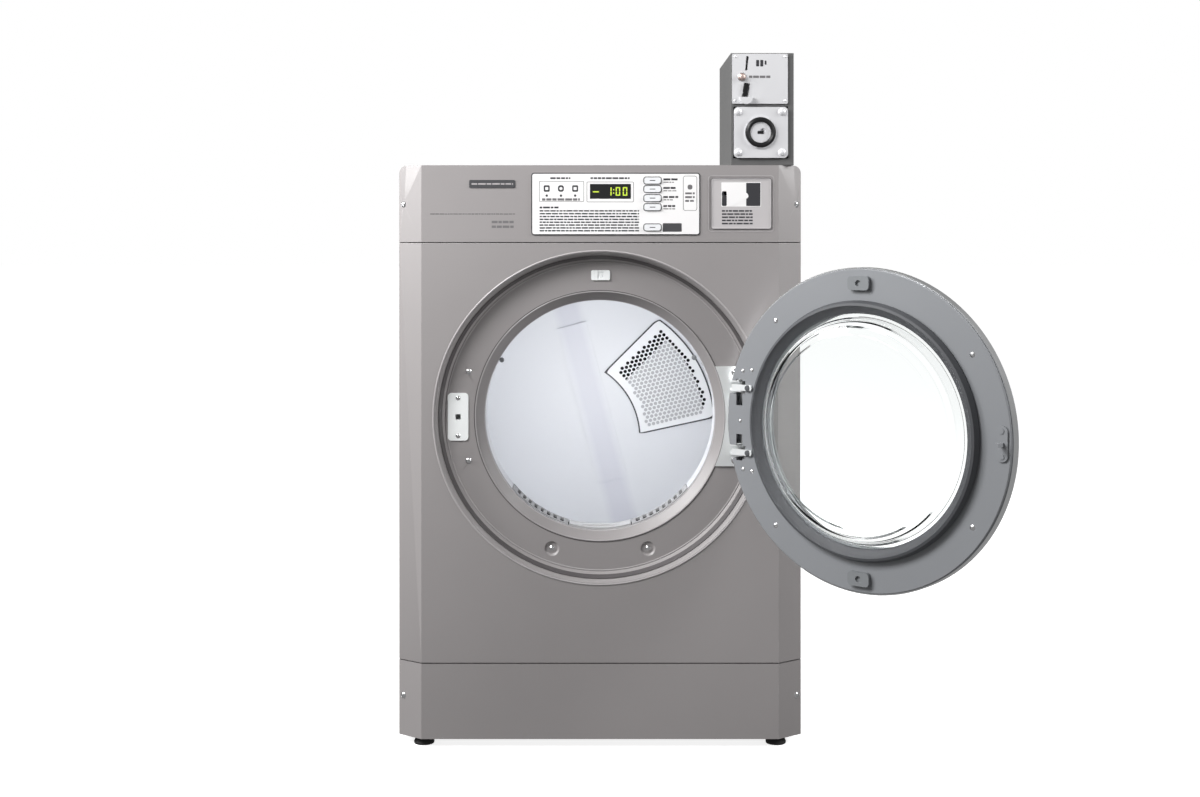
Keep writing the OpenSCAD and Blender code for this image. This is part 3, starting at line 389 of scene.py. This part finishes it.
for finish, names in FINISHES.items():
    for name in names.split():
        mesh = nodes[name].data
        mesh.materials.clear()
        mesh.materials.append(finish.m)
left_out = [n for n in nodes if not any(n in v.split() for v in FINISHES.values())]
print("finished", len(nodes) - len(left_out), "nodes; left out:", left_out)

# %% [markdown]
# ## Softened edges
# No pressed or moulded edge is razor sharp. A welded copy of each visible shell gets a live bevel of
# half a millimetre on its sharp edges only, which is what draws the fine light lines.

# %% Bevel the visible shells
SOFT = {"console": 0.7, "front_panel": 0.7, "top_plate": 0.6, "coin_case": 0.8,
        "coin_face_plate": 0.4, "vault_door": 0.8, "strike_plate": 0.4, "hinge_plate": 0.4,
        "hinge_straps": 0.5, "button_1": 0.5, "button_2": 0.5, "button_3": 0.5, "button_4": 0.5,
        "start_button": 0.5, "door_bumpers": 0.8, "door_latch": 0.4, "card_plate": 0.3}
for name, width in SOFT.items():
    weld = nodes[name].modifiers.new("weld", "WELD")
    weld.merge_threshold = 0.00002
    bevel = nodes[name].modifiers.new("edge", "BEVEL")
    bevel.width, bevel.segments = width * MM, 2
    bevel.limit_method, bevel.angle_limit = "ANGLE", math.radians(38)
print("softened", len(SOFT), "shells")

# %% [markdown]
# ## Modelling helpers
# Most fine pieces are thin plates with rounded corners, rings turned about an axis, or print. A
# plate starts as a plane that gets a vertex bevel and an extrusion. A ring starts as a small
# profile that is spun. Print starts as a grid whose gaps are deleted, so a whole block of lines is
# one piece. Door pieces are modelled with the door shut, then turned open with it.

# %% Settle a piece
HINGE = Vector((0.240, FRONT - 6 * MM, 0))
DOOR_OPEN = math.radians(140)


def deselect():
    if bpy.context.object and bpy.context.object.mode != "OBJECT":
        bpy.ops.object.mode_set(mode="OBJECT")
    bpy.ops.object.select_all(action="DESELECT")


def spot(x, depth, z):
    """A point from millimetres: x, depth behind the front plane, height above the floor."""
    return (x * MM, FRONT + depth * MM, FLOOR + z * MM)


def settle(name, finish, body="cabinet"):
    """Apply the place, name the piece, give it its finish and let it ride on its body."""
    piece = bpy.context.object
    if body == "door":
        turn = Matrix.Translation(HINGE) @ Matrix.Rotation(DOOR_OPEN, 4, "Z") @ Matrix.Translation(-HINGE)
        piece.matrix_world = turn @ piece.matrix_world
    bpy.ops.object.transform_apply(location=True, rotation=True, scale=True)
    piece.name = piece.data.name = name
    piece.data.materials.clear()
    piece.data.materials.append(finish.m)
    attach(piece, body)
    return piece


def joined(name, pieces, body="cabinet"):
    """Several small pieces of one finish become one piece."""
    deselect()
    for p in pieces:
        p.select_set(True)
    bpy.context.view_layer.objects.active = pieces[0]
    bpy.ops.object.join()
    piece = bpy.context.object
    piece.name = piece.data.name = name
    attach(piece, body)
    return piece


# %% Plates, frames and print
def sheet_start(x, z, depth, turn):
    """A plane of the right size that faces the front, still in object mode."""
    deselect()
    bpy.ops.mesh.primitive_plane_add(size=1, location=spot(sum(x) / 2, depth, sum(z) / 2))
    piece = bpy.context.object
    piece.scale = ((x[1] - x[0]) * MM, (z[1] - z[0]) * MM, 1)
    bpy.ops.object.transform_apply(location=False, rotation=False, scale=True)
    piece.rotation_euler = (math.radians(90), math.radians(turn), 0)
    return piece


def thicken(thick):
    """Extrude the whole sheet towards the viewer and close it."""
    bpy.ops.mesh.select_all(action="SELECT")
    bpy.ops.mesh.extrude_region_move(TRANSFORM_OT_translate={"value": (0, 0, thick * MM)},
                                     MESH_OT_extrude_region={"use_normal_flip": False})
    bpy.ops.mesh.select_all(action="SELECT")
    bpy.ops.mesh.normals_make_consistent(inside=False)
    bpy.ops.object.mode_set(mode="OBJECT")


def plate(name, x, z, depth, thick, finish, body="cabinet", corner=0.0, turn=0.0, soften=0.0):
    """A flat plate whose back lies at the depth; x and z are its limits, in millimetres."""
    piece = sheet_start(x, z, depth, turn)
    bpy.ops.object.mode_set(mode="EDIT")
    bpy.ops.mesh.select_all(action="SELECT")
    if corner:
        bpy.ops.mesh.bevel(offset=corner * MM, segments=5, affect="VERTICES")
    bpy.ops.object.mode_set(mode="OBJECT")
    flat = piece.rotation_euler.copy()
    piece.rotation_euler = (0, 0, 0)
    bpy.ops.object.mode_set(mode="EDIT")
    thicken(thick)
    piece.rotation_euler = flat
    if soften:
        edge = piece.modifiers.new("edge", "BEVEL")
        edge.width, edge.segments, edge.limit_method = soften * MM, 2, "ANGLE"
        bpy.ops.object.modifier_apply(modifier="edge")
    return settle(name, finish, body)


def line_frame(name, x, z, depth, width, finish, thick=0.1, corner=2.0):
    """A thin printed or raised line round a rectangle: inset the sheet, drop its middle."""
    piece = sheet_start(x, z, depth, 0)
    piece.rotation_euler = (0, 0, 0)
    bpy.ops.object.mode_set(mode="EDIT")
    bpy.ops.mesh.select_all(action="SELECT")
    bpy.ops.mesh.bevel(offset=corner * MM, segments=4, affect="VERTICES")
    bpy.ops.mesh.select_all(action="SELECT")
    bpy.ops.mesh.inset(thickness=width * MM)
    bpy.ops.mesh.delete(type="FACE")
    thicken(thick)
    piece.rotation_euler = (math.radians(90), 0, 0)
    return settle(name, finish)


def print_rows(name, x, z, depth, finish, rows, columns, seed=1, thick=0.08):
    """Rows of small dashes of uneven length that stand for print too fine to read."""
    deselect()
    bpy.ops.mesh.primitive_grid_add(x_subdivisions=columns, y_subdivisions=2 * rows - 1, size=1,
                                    location=spot(sum(x) / 2, depth, sum(z) / 2))
    piece = bpy.context.object
    piece.scale = ((x[1] - x[0]) * MM, (z[1] - z[0]) * MM, 1)
    bpy.ops.object.transform_apply(location=False, rotation=False, scale=True)
    bpy.ops.object.mode_set(mode="EDIT")
    bpy.ops.mesh.select_all(action="DESELECT")
    mesh = bmesh.from_edit_mesh(piece.data)
    wide, tall = (x[1] - x[0]) * MM, (z[1] - z[0]) * MM
    words, k = {}, seed
    for row in range(rows):
        left, gaps = 0, set()
        while left < columns:
            k = (k * 1103515245 + 12345) % 2147483648
            left += 3 + (k >> 16) % 6
            gaps.add(left)
            left += 1
        words[row] = gaps
    for face in mesh.faces:
        c = face.calc_center_median()
        column = int((c.x / wide + 0.5) * columns)
        line = int((c.y / tall + 0.5) * (2 * rows - 1))
        face.select_set(line % 2 == 1 or column in words[line // 2])
    bmesh.update_edit_mesh(piece.data)
    bpy.ops.mesh.delete(type="FACE")
    thicken(thick)
    piece.rotation_euler = (math.radians(90), 0, 0)
    return settle(name, finish)


# %% Rings and studs
def ring(name, radius, depth, size, finish, body="cabinet", steps=128, centre=(0, None), turn=None):
    """Spin a profile about an axis along Y: a round bead, or a flat strip when size is a pair."""
    cx = centre[0]
    cz = (AXIS_Z - FLOOR) / MM if centre[1] is None else centre[1]
    deselect()
    place = spot(cx + radius, depth, cz)
    if turn is None:
        bpy.ops.mesh.primitive_circle_add(vertices=8, radius=size * MM, location=place)
    else:
        bpy.ops.mesh.primitive_plane_add(size=1, location=place)
        bpy.context.object.scale = (size[0] * MM, size[1] * MM, 1)
        bpy.context.object.rotation_euler = (0, 0, math.radians(turn))
    bpy.ops.object.transform_apply(location=False, rotation=True, scale=True)
    bpy.ops.object.mode_set(mode="EDIT")
    bpy.ops.mesh.select_all(action="SELECT")
    if turn is not None:
        bpy.ops.mesh.delete(type="ONLY_FACE")
        bpy.ops.mesh.select_all(action="SELECT")
    bpy.ops.mesh.spin(steps=steps, angle=math.tau, center=spot(cx, 0, cz), axis=(0, 1, 0))
    bpy.ops.mesh.select_all(action="SELECT")
    bpy.ops.mesh.remove_doubles(threshold=0.00001)
    bpy.ops.mesh.normals_make_consistent(inside=False)
    bpy.ops.object.mode_set(mode="OBJECT")
    bpy.ops.object.shade_smooth_by_angle(angle=math.radians(40))
    return settle(name, finish, body)


def stud(name, x, z, radius, depth, tall, finish, body="cabinet", soften=0.5, sides=32):
    """A short round stud that faces the front, its rim rounded. depth is where its face lies."""
    deselect()
    bpy.ops.mesh.primitive_cylinder_add(vertices=sides, radius=radius * MM, depth=tall * MM,
                                        location=spot(x, depth + tall / 2, z),
                                        rotation=(math.radians(90), 0, 0))
    edge = bpy.context.object.modifiers.new("rim", "BEVEL")
    edge.width, edge.segments, edge.limit_method = soften * MM, 3, "ANGLE"
    bpy.ops.object.modifier_apply(modifier="rim")
    bpy.ops.object.shade_smooth_by_angle(angle=math.radians(30))
    return settle(name, finish, body)


print("modelling helpers ready")

# %% [markdown]
# ## Beads and groove of the dished ring
# The press leaves a fine raised bead where the flat sheet turns into the dish, then a steep wall
# that always lies in shade, and a second bead at its foot. Turned as real beads they catch the light,
# and their paler enamel paints a highlight on them as well. A thin dark strip in the wall is painted
# shade that keeps the groove dark at every hour, and a thin dark ring by the lip is a painted shadow.

# %% Ring details
# The beads are in the paler enamel: a painted highlight added to the light they catch.
ring("outer_bead", 282.0, 0.2, 1.5, highlight_and_print_enamel)
# painted shade: a dark strip lying in the groove wall
ring("groove_shade_strip", 270.8, 12.0, (10.0, 0.4), painted_shade_enamel, turn=-58.2)
ring("floor_bead", 262.8, 24.9, 1.1, highlight_and_print_enamel)
# painted shadow: a dark ring at the step of the lip
ring("lip_shadow", 214.6, 24.9, 0.6, painted_shade_enamel)
ring("lip_bead", 212.6, 25.0, 0.9, highlight_and_print_enamel)
ring("mouth_bead", 198.3, 38.2, 0.9, highlight_and_print_enamel)
for side, (x, z) in {"left": (-169, 651), "right": (162, 655)}.items():
    stud(f"mouth_peg_{side}", x, z, 4.2, 46, 9, liner_plastic, soften=1.5)
print("ring dressed")

# %% [markdown]
# ## Hot air inlet
# The inlet is a punched sheet: a fan-shaped plate with holes of 7.2 mm on a staggered pitch of
# 9.1 mm. The holes are punched the way a press does it, with one array of punches and a single
# cut. A band of dark seal rubber frames it and paints the shadow of the groove round the plate. A
# pale screen stands close behind, set back from two edges, and a near-black plate further back
# paints the shade in the heater cavity, so the holes look pale in the middle and black along the
# upper left and the right.

# %% Fan outline
FAN_OUT, FAN_IN = (-34.2, 469.3, 269.7), (-82.2, 446.0, 166.2)
FAN_TOP, FAN_FOOT, FAN_SLOPE = 570.1, 439.2, 0.217
DIAGONAL, FOOT_SLANT = math.sqrt(2), 1.023      # turn an inset square to a side into one in z
ARC_STEPS = 180


def fan(depth, thick, insets, corner):
    """The fan between two arcs, cut by two straight sides. insets: out, in, top left, foot."""
    out, inner, top, foot = insets
    deselect()
    bpy.ops.mesh.primitive_circle_add(vertices=ARC_STEPS, radius=(FAN_OUT[2] - out) * MM,
                                      fill_type="NGON", location=spot(FAN_OUT[0], depth, FAN_OUT[1]),
                                      rotation=(math.radians(90), 0, 0))
    piece = bpy.context.object
    bpy.ops.object.transform_apply(location=True, rotation=True, scale=True)
    bpy.ops.object.mode_set(mode="EDIT")
    bpy.ops.mesh.select_all(action="SELECT")
    bpy.ops.mesh.bisect(plane_co=spot(0, 0, FAN_TOP - top * DIAGONAL), plane_no=(-1, 0, 1),
                        clear_outer=True)
    bpy.ops.mesh.select_all(action="SELECT")
    bpy.ops.mesh.bisect(plane_co=spot(0, 0, FAN_FOOT + foot * FOOT_SLANT), plane_no=(-FAN_SLOPE, 0, 1),
                        clear_inner=True)
    bpy.ops.mesh.select_all(action="SELECT")
    bpy.ops.mesh.extrude_region_move(TRANSFORM_OT_translate={"value": (0, thick * MM, 0)})
    bpy.ops.mesh.select_all(action="SELECT")
    bpy.ops.mesh.normals_make_consistent(inside=False)
    bpy.ops.object.mode_set(mode="OBJECT")
    bpy.ops.object.select_all(action="DESELECT")
    bpy.ops.mesh.primitive_cylinder_add(vertices=ARC_STEPS, radius=(FAN_IN[2] + inner) * MM, depth=0.1,
                                        location=spot(FAN_IN[0], depth, FAN_IN[1]),
                                        rotation=(math.radians(90), 0, 0))
    cut(piece, bpy.context.object)
    bpy.ops.object.mode_set(mode="EDIT")
    bpy.ops.mesh.select_all(action="DESELECT")
    mesh = bmesh.from_edit_mesh(piece.data)
    for edge in mesh.edges:
        along = edge.verts[1].co - edge.verts[0].co
        straight = abs(along.y) > 0.9 * along.length and along.length > thick * MM * 0.9
        edge.select_set(straight and len(edge.link_faces) == 2 and edge.calc_face_angle() > 0.5)
    bmesh.update_edit_mesh(piece.data)
    bpy.ops.mesh.bevel(offset=corner * MM, segments=8, affect="EDGES")
    bpy.ops.object.mode_set(mode="OBJECT")
    return piece


def cut(piece, tool):
    """Take the tool away from the piece and throw the tool away."""
    deselect()
    piece.select_set(True)
    bpy.context.view_layer.objects.active = piece
    hole = piece.modifiers.new("cut", "BOOLEAN")
    hole.operation, hole.object, hole.solver = "DIFFERENCE", tool, "EXACT"
    bpy.ops.object.modifier_apply(modifier="cut")
    bpy.data.objects.remove(tool)


# %% Punches on a staggered pitch
PITCH, HOLE = 9.1, 3.6
SIDES = 12                                # of each punch
PEG, PEG_CLEAR, FIELD_LEFT = (222, 498), 12, 38   # no holes round the peg or left of the field
tilt = math.radians(13.5)
BULK = (box("air_inlet_grille")[1].y - FRONT) / MM + 0.2      # front face of the rear wall
inlet_white = moulded("inlet_white", (0.90, 0.91, 0.92), 0.35, 700, 0.05)
inlet = fan(BULK - 3.4, 3.2, (0, 0, 0, 0), 15)
deselect()
bpy.ops.mesh.primitive_cylinder_add(vertices=SIDES, radius=HOLE * MM, depth=0.012,
                                    location=spot(-60, BULK - 2, 427), rotation=(math.radians(90), 0, 0))
punch = bpy.context.object
bpy.ops.object.transform_apply(location=True, rotation=True, scale=True)
for label, count, angle in (("along", 35, tilt), ("up", 32, tilt + math.radians(60))):
    row = punch.modifiers.new(label, "ARRAY")
    row.count, row.use_relative_offset, row.use_constant_offset = count, False, True
    row.constant_offset_displace = (PITCH * MM * math.cos(angle), 0, PITCH * MM * math.sin(angle))
    bpy.ops.object.modifier_apply(modifier=label)
deselect()
bpy.context.view_layer.objects.active = punch
punch.select_set(True)
bpy.ops.object.mode_set(mode="EDIT")
bpy.ops.mesh.select_all(action="DESELECT")
mesh = bmesh.from_edit_mesh(punch.data)
mesh.verts.ensure_lookup_table()
kept = 0
for start in range(0, len(mesh.verts), 2 * SIDES):
    group = mesh.verts[start:start + 2 * SIDES]
    x = sum(v.co.x for v in group) / len(group) / MM
    z = (sum(v.co.z for v in group) / len(group) - FLOOR) / MM
    inside_field = (math.dist((x, z), FAN_OUT[:2]) < FAN_OUT[2] - 13
                    and math.dist((x, z), FAN_IN[:2]) > FAN_IN[2] + 14
                    and z < x + FAN_TOP - 18 * DIAGONAL and z > FAN_FOOT + FAN_SLOPE * x + 12
                    and math.dist((x, z), PEG) > PEG_CLEAR and x > FIELD_LEFT)
    kept += inside_field
    for v in group:
        v.select_set(not inside_field)
mesh.select_flush(True)
bmesh.update_edit_mesh(punch.data)
bpy.ops.mesh.delete(type="VERT")
bpy.ops.object.mode_set(mode="OBJECT")
cut(inlet, punch)
bpy.context.view_layer.objects.active = inlet
inlet.select_set(True)
settle("air_inlet", inlet_white)
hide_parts("air_inlet_grille")

# A dark rubber band round the plate: painted shadow of the groove.
seal = fan(BULK - 2.2, 2.0, (-3.0, -3.0, -3.0, -3.0), 18)
cut(seal, fan(BULK - 5, 8, (6, 6, 6, 6), 9))
bpy.context.view_layer.objects.active = seal
seal.select_set(True)
settle("inlet_groove_shadow", seal_rubber)
screen_metal = brushed("inlet_screen_metal", (0.55, 0.55, 0.57), 0.45, (40, 40, 40), metal=0.0)
# A near-black plate behind the holes is painted shade of the heater cavity.
cavity_painted_shade = moulded("heater_cavity_painted_shade", (0.012, 0.012, 0.013), 0.8, 300, 0.05)
fan(BULK + 0.1, 0.8, (20, 6.6, 41, 6.8), 8)
settle("inlet_screen", screen_metal)
fan(BULK + 7, 1.0, (1, 1, 1, 1), 8)
settle("inlet_painted_shade", cavity_painted_shade)
print("inlet punched with", kept, "holes")

# %% [markdown]
# ## Printed front
# The keys are explained by print on a light film: thin frames, small icons, rows of lettering too
# small to read, and lamps beside them. Any wording would belong to a maker, so the rows are plain
# dashes of uneven length, which read as print from a step away.

# %% Ink on the film
dark_ink = moulded("dark_ink", (0.035, 0.035, 0.04), 0.45, 900, 0.02)
grey_ink = moulded("grey_ink", (0.16, 0.155, 0.16), 0.45, 900, 0.02)
FILM = -1.2
line_frame("film_edge", (-116.2, 169.2), (865.8, 971.2), FILM, 1.7, dark_ink, 0.12, 5)
line_frame("left_frame", (-103, -27), (922, 957), FILM, 0.8, grey_ink)
line_frame("display_frame", (-22.5, 57), (921.5, 956), FILM, 0.8, grey_ink)
line_frame("right_frame", (140.3, 164), (907, 966), FILM, 0.8, grey_ink, corner=4)
icons = []
for k, cx in enumerate((-90, -66, -42)):
    icons.append(plate("icon", (cx - 5, cx + 5), (939, 950), FILM, 0.1, dark_ink, corner=2 + 2 * (k % 2)))
    icons.append(plate("lamp", (cx - 2, cx + 2), (930.5, 934.5), FILM, 0.14, dark_ink, corner=1.9))
joined("icon_row", icons)
gaps = [plate("icon_gap", (cx - 2.6, cx + 2.6), (942, 947), FILM - 0.1, 0.06, overlay_film, corner=w)
        for cx, w in ((-90, 1.0), (-66, 2.4), (-42, 0.6))]
joined("icon_gaps", gaps)
print_rows("lamp_names", (-98, -34), (924, 928), FILM, grey_ink, 1, 44, 5)
print_rows("film_head_left", (-84, -50), (960.5, 963.5), FILM, dark_ink, 1, 26, 7)
print_rows("film_head_right", (-16, 50), (960.5, 963.5), FILM, dark_ink, 1, 48, 9)
print_rows("film_rows", (-102, 66), (872, 908), FILM, dark_ink, 8, 130, 11)
print_rows("film_rows_head", (-102, -70), (911, 914), FILM, dark_ink, 1, 22, 13)
print_rows("right_frame_rows", (144, 160), (922, 938), FILM, grey_ink, 3, 10, 23)
plate("right_frame_icon", (148, 156), (943, 951), FILM, 0.1, grey_ink, corner=3)
for k, z in enumerate((958, 943.5, 928.2, 913)):
    name_end, note_end = 107 + (24, 22, 25, 20)[k], 107 + (18, 22, 17, 20)[k]
    print_rows(f"key_name_{k + 1}", (107, name_end), (z + 0.4, z + 3.6), FILM, dark_ink, 1, 16, k + 31)
    print_rows(f"key_note_{k + 1}", (107, note_end), (z - 3.6, z - 2), FILM, grey_ink, 1, 16, k + 51)
keys = {"key_1": 958, "key_2": 943.5, "key_3": 928.2, "key_4": 913, "key_start": 878.8}
key_face = (box("button_1")[0].y - FRONT) / MM
for key, z in keys.items():
    line_frame(f"{key}_outline", (73.2, 104.2), (z - 6.8, z + 6.8), FILM, 1.1, dark_ink, 0.1, 4.5)
    plate(f"{key}_mark", (84, 93.4), (z - 0.65, z + 0.65), key_face + 1.35, 1.0, dark_ink, key)
plate("start_name", (106, 138), (871.5, 886), FILM, 0.12, dark_label, corner=1.5)
print("film printed")

# %% [markdown]
# ## Display
# Behind a smoked window stand seven-segment digits that show the minutes bought: one hour. Each bar
# is a small lit plate with clipped corners.

# %% Digits of the display
lit = Finish("lit_digits", (0.30, 0.38, 0.02), 0.3, Emission_Strength=0.75)
lit.set("Emission Color", lit.mix(lit.noise(900, 2), (0.50, 0.66, 0.05), (0.66, 0.82, 0.12)))
lit.bump(lit.noise(900, 1), 0.02)
SEGMENTS = {"0": "abcdef", "1": "bc"}
GLOW = -1.02


def digit(figure, x, z, w=7.6, h=14.5, t=1.9):
    half, top = z + h / 2, z + h
    bars = {"a": ((x, x + w), (top - t, top)), "d": ((x, x + w), (z, z + t)),
            "b": ((x + w - t, x + w), (half + 0.4, top - 0.4)),
            "c": ((x + w - t, x + w), (z + 0.4, half - 0.4)),
            "e": ((x, x + t), (z + 0.4, half - 0.4)), "f": ((x, x + t), (half + 0.4, top - 0.4))}
    return [plate("bar", *bars[s], GLOW, 0.1, lit, corner=0.5) for s in SEGMENTS[figure]]


bars = digit("1", 12, 932.4) + digit("0", 26.5, 932.4) + digit("0", 38.5, 932.4)
bars += [plate("dot", (22, 24), (z, z + 2), GLOW, 0.1, lit, corner=0.7) for z in (936, 941.5)]
joined("display_digits", bars)
print_rows("display_note", (-12, -2), (938, 940), GLOW, lit, 1, 8, 3)
print("display lit")

# %% [markdown]
# ## Console print and instruction card
# Left of the film the sheet carries a fine dotted rule with two small rows under it. On the right a
# card in a raised frame shows how to use the machine; here that is a pale picture field with plain
# shapes and a short list.

# %% Rule, rows and card
print_rows("dotted_rule", (-287, -143.6), (901, 902), 0, dark_ink, 1, 150, 17)
print_rows("console_rows", (-183, -146), (878, 890), 0, grey_ink, 2, 26, 19)
print_rows("plaque_rows", (-217, -147), (951, 953.6), -1, highlight_and_print_enamel, 1, 44, 29)
CARD = (box("card_plate")[0].y - FRONT) / MM + 0.7
plate("card_picture", (205, 272), (914, 955), CARD, 0.15, overlay_film, corner=1)
shapes = [plate("shape", (247, 271), (915, 954), CARD - 0.15, 0.12, dark_ink, corner=1),
          plate("shape", (206, 214), (915, 940), CARD - 0.15, 0.12, dark_ink, corner=2)]
joined("card_shapes", shapes)
pale = [plate("hand", (209, 231), (931, 951), CARD - 0.15, 0.12, overlay_film, corner=6, turn=12),
        plate("hand", (216, 252), (921, 931), CARD - 0.3, 0.1, overlay_film, corner=4, turn=-28)]
joined("card_pale_shapes", pale)
print_rows("card_rows", (206, 258), (884, 908), CARD, dark_ink, 5, 40, 37)
line_frame("card_line", (187.4, 290), (875.8, 962.2), -1.3, 1.0, grey_ink, 0.1, 4)
# The bezel is in the paler enamel, a painted highlight round the card.
line_frame("card_bezel", (182.6, 294.6), (871.4, 966.8), 0, 1.4, highlight_and_print_enamel, 0.4, 6)
print("card printed")

# %% [markdown]
# ## Coin box face
# The customer sees a plated front: a slanted slot, a return button in a collar, a black chute for
# returned coins, and below it a vault door with a black ring round the lock. Slot, chute and keyway
# are drawn as black plates that paint the shade inside these openings.

# %% Slot, collars and chute
black_and_hole_shade = moulded("black_and_painted_hole_shade", (0.008, 0.008, 0.009), 0.3, 700, 0.05)
FACE = 1.0
# The slot and the chute are black plates: painted shade inside the openings.
plate("slot_throat", (246.6, 249.6), (1145, 1168.5), FACE, 0.25, black_and_hole_shade, corner=0.8, turn=4)
chute = [plate("chute", (242.5, 249.5), (1098, 1123), FACE, 2.2, black_and_hole_shade, corner=1.5, turn=8,
               soften=0.4),
         plate("chute", (240, 254), (1089.5, 1099), FACE, 3.0, black_and_hole_shade, corner=3, soften=0.5)]
joined("coin_chute", chute)
ring("return_collar", 6.6, 0.9, 1.2, screw_steel, centre=(240, 1133), steps=32)
tariff = [plate("tariff", (x, x + 5), (1151, 1162), FACE, 0.1, dark_ink, corner=1.2) for x in (264, 271)]
tariff.append(plate("tariff", (278.5, 281.5), (1154, 1161), FACE, 0.1, dark_ink, corner=1))
joined("tariff_figures", tariff)
print_rows("return_name", (252, 288), (1131.5, 1135.5), FACE, grey_ink, 1, 26, 43)
VAULT = (box("vault_door")[0].y - FRONT) / MM
LOCK = (box("lock_cylinder")[0].y - FRONT) / MM
LOCK_AT = (271.2, 1039.3)
print("vault face", round(VAULT, 2), "lock face", round(LOCK, 2))
ring("lock_ring", 21.6, LOCK + 1.6, 5.3, black_and_hole_shade, body="vault", centre=LOCK_AT, steps=64)
ring("lock_edge", 27.3, LOCK + 3.6, 0.6, screw_steel, body="vault", centre=LOCK_AT, steps=64)
# painted shade inside the keyway
plate("lock_keyway", (266, 276.5), (1036.6, 1042), LOCK - 0.01, 0.12, black_and_hole_shade, "lock", corner=1.2)
print("coin box dressed")

# %% [markdown]
# ## Door hinge
# Each strap carries a dark roller near the seal. It is modelled with the door shut and then turned
# open with the door, like every other door piece.

# %% Door fittings
AXIS, STRAP, LINER = 557, 54, 14         # drum axis height, strap offset, liner depth
for side, s in (("upper", 1), ("lower", -1)):
    z = AXIS + s * STRAP
    stud(f"strap_roller_{side}", 213, z, 5.0, LINER + 3.0, 3.0, seal_rubber, "door", soften=1.2)
print("door dressed")
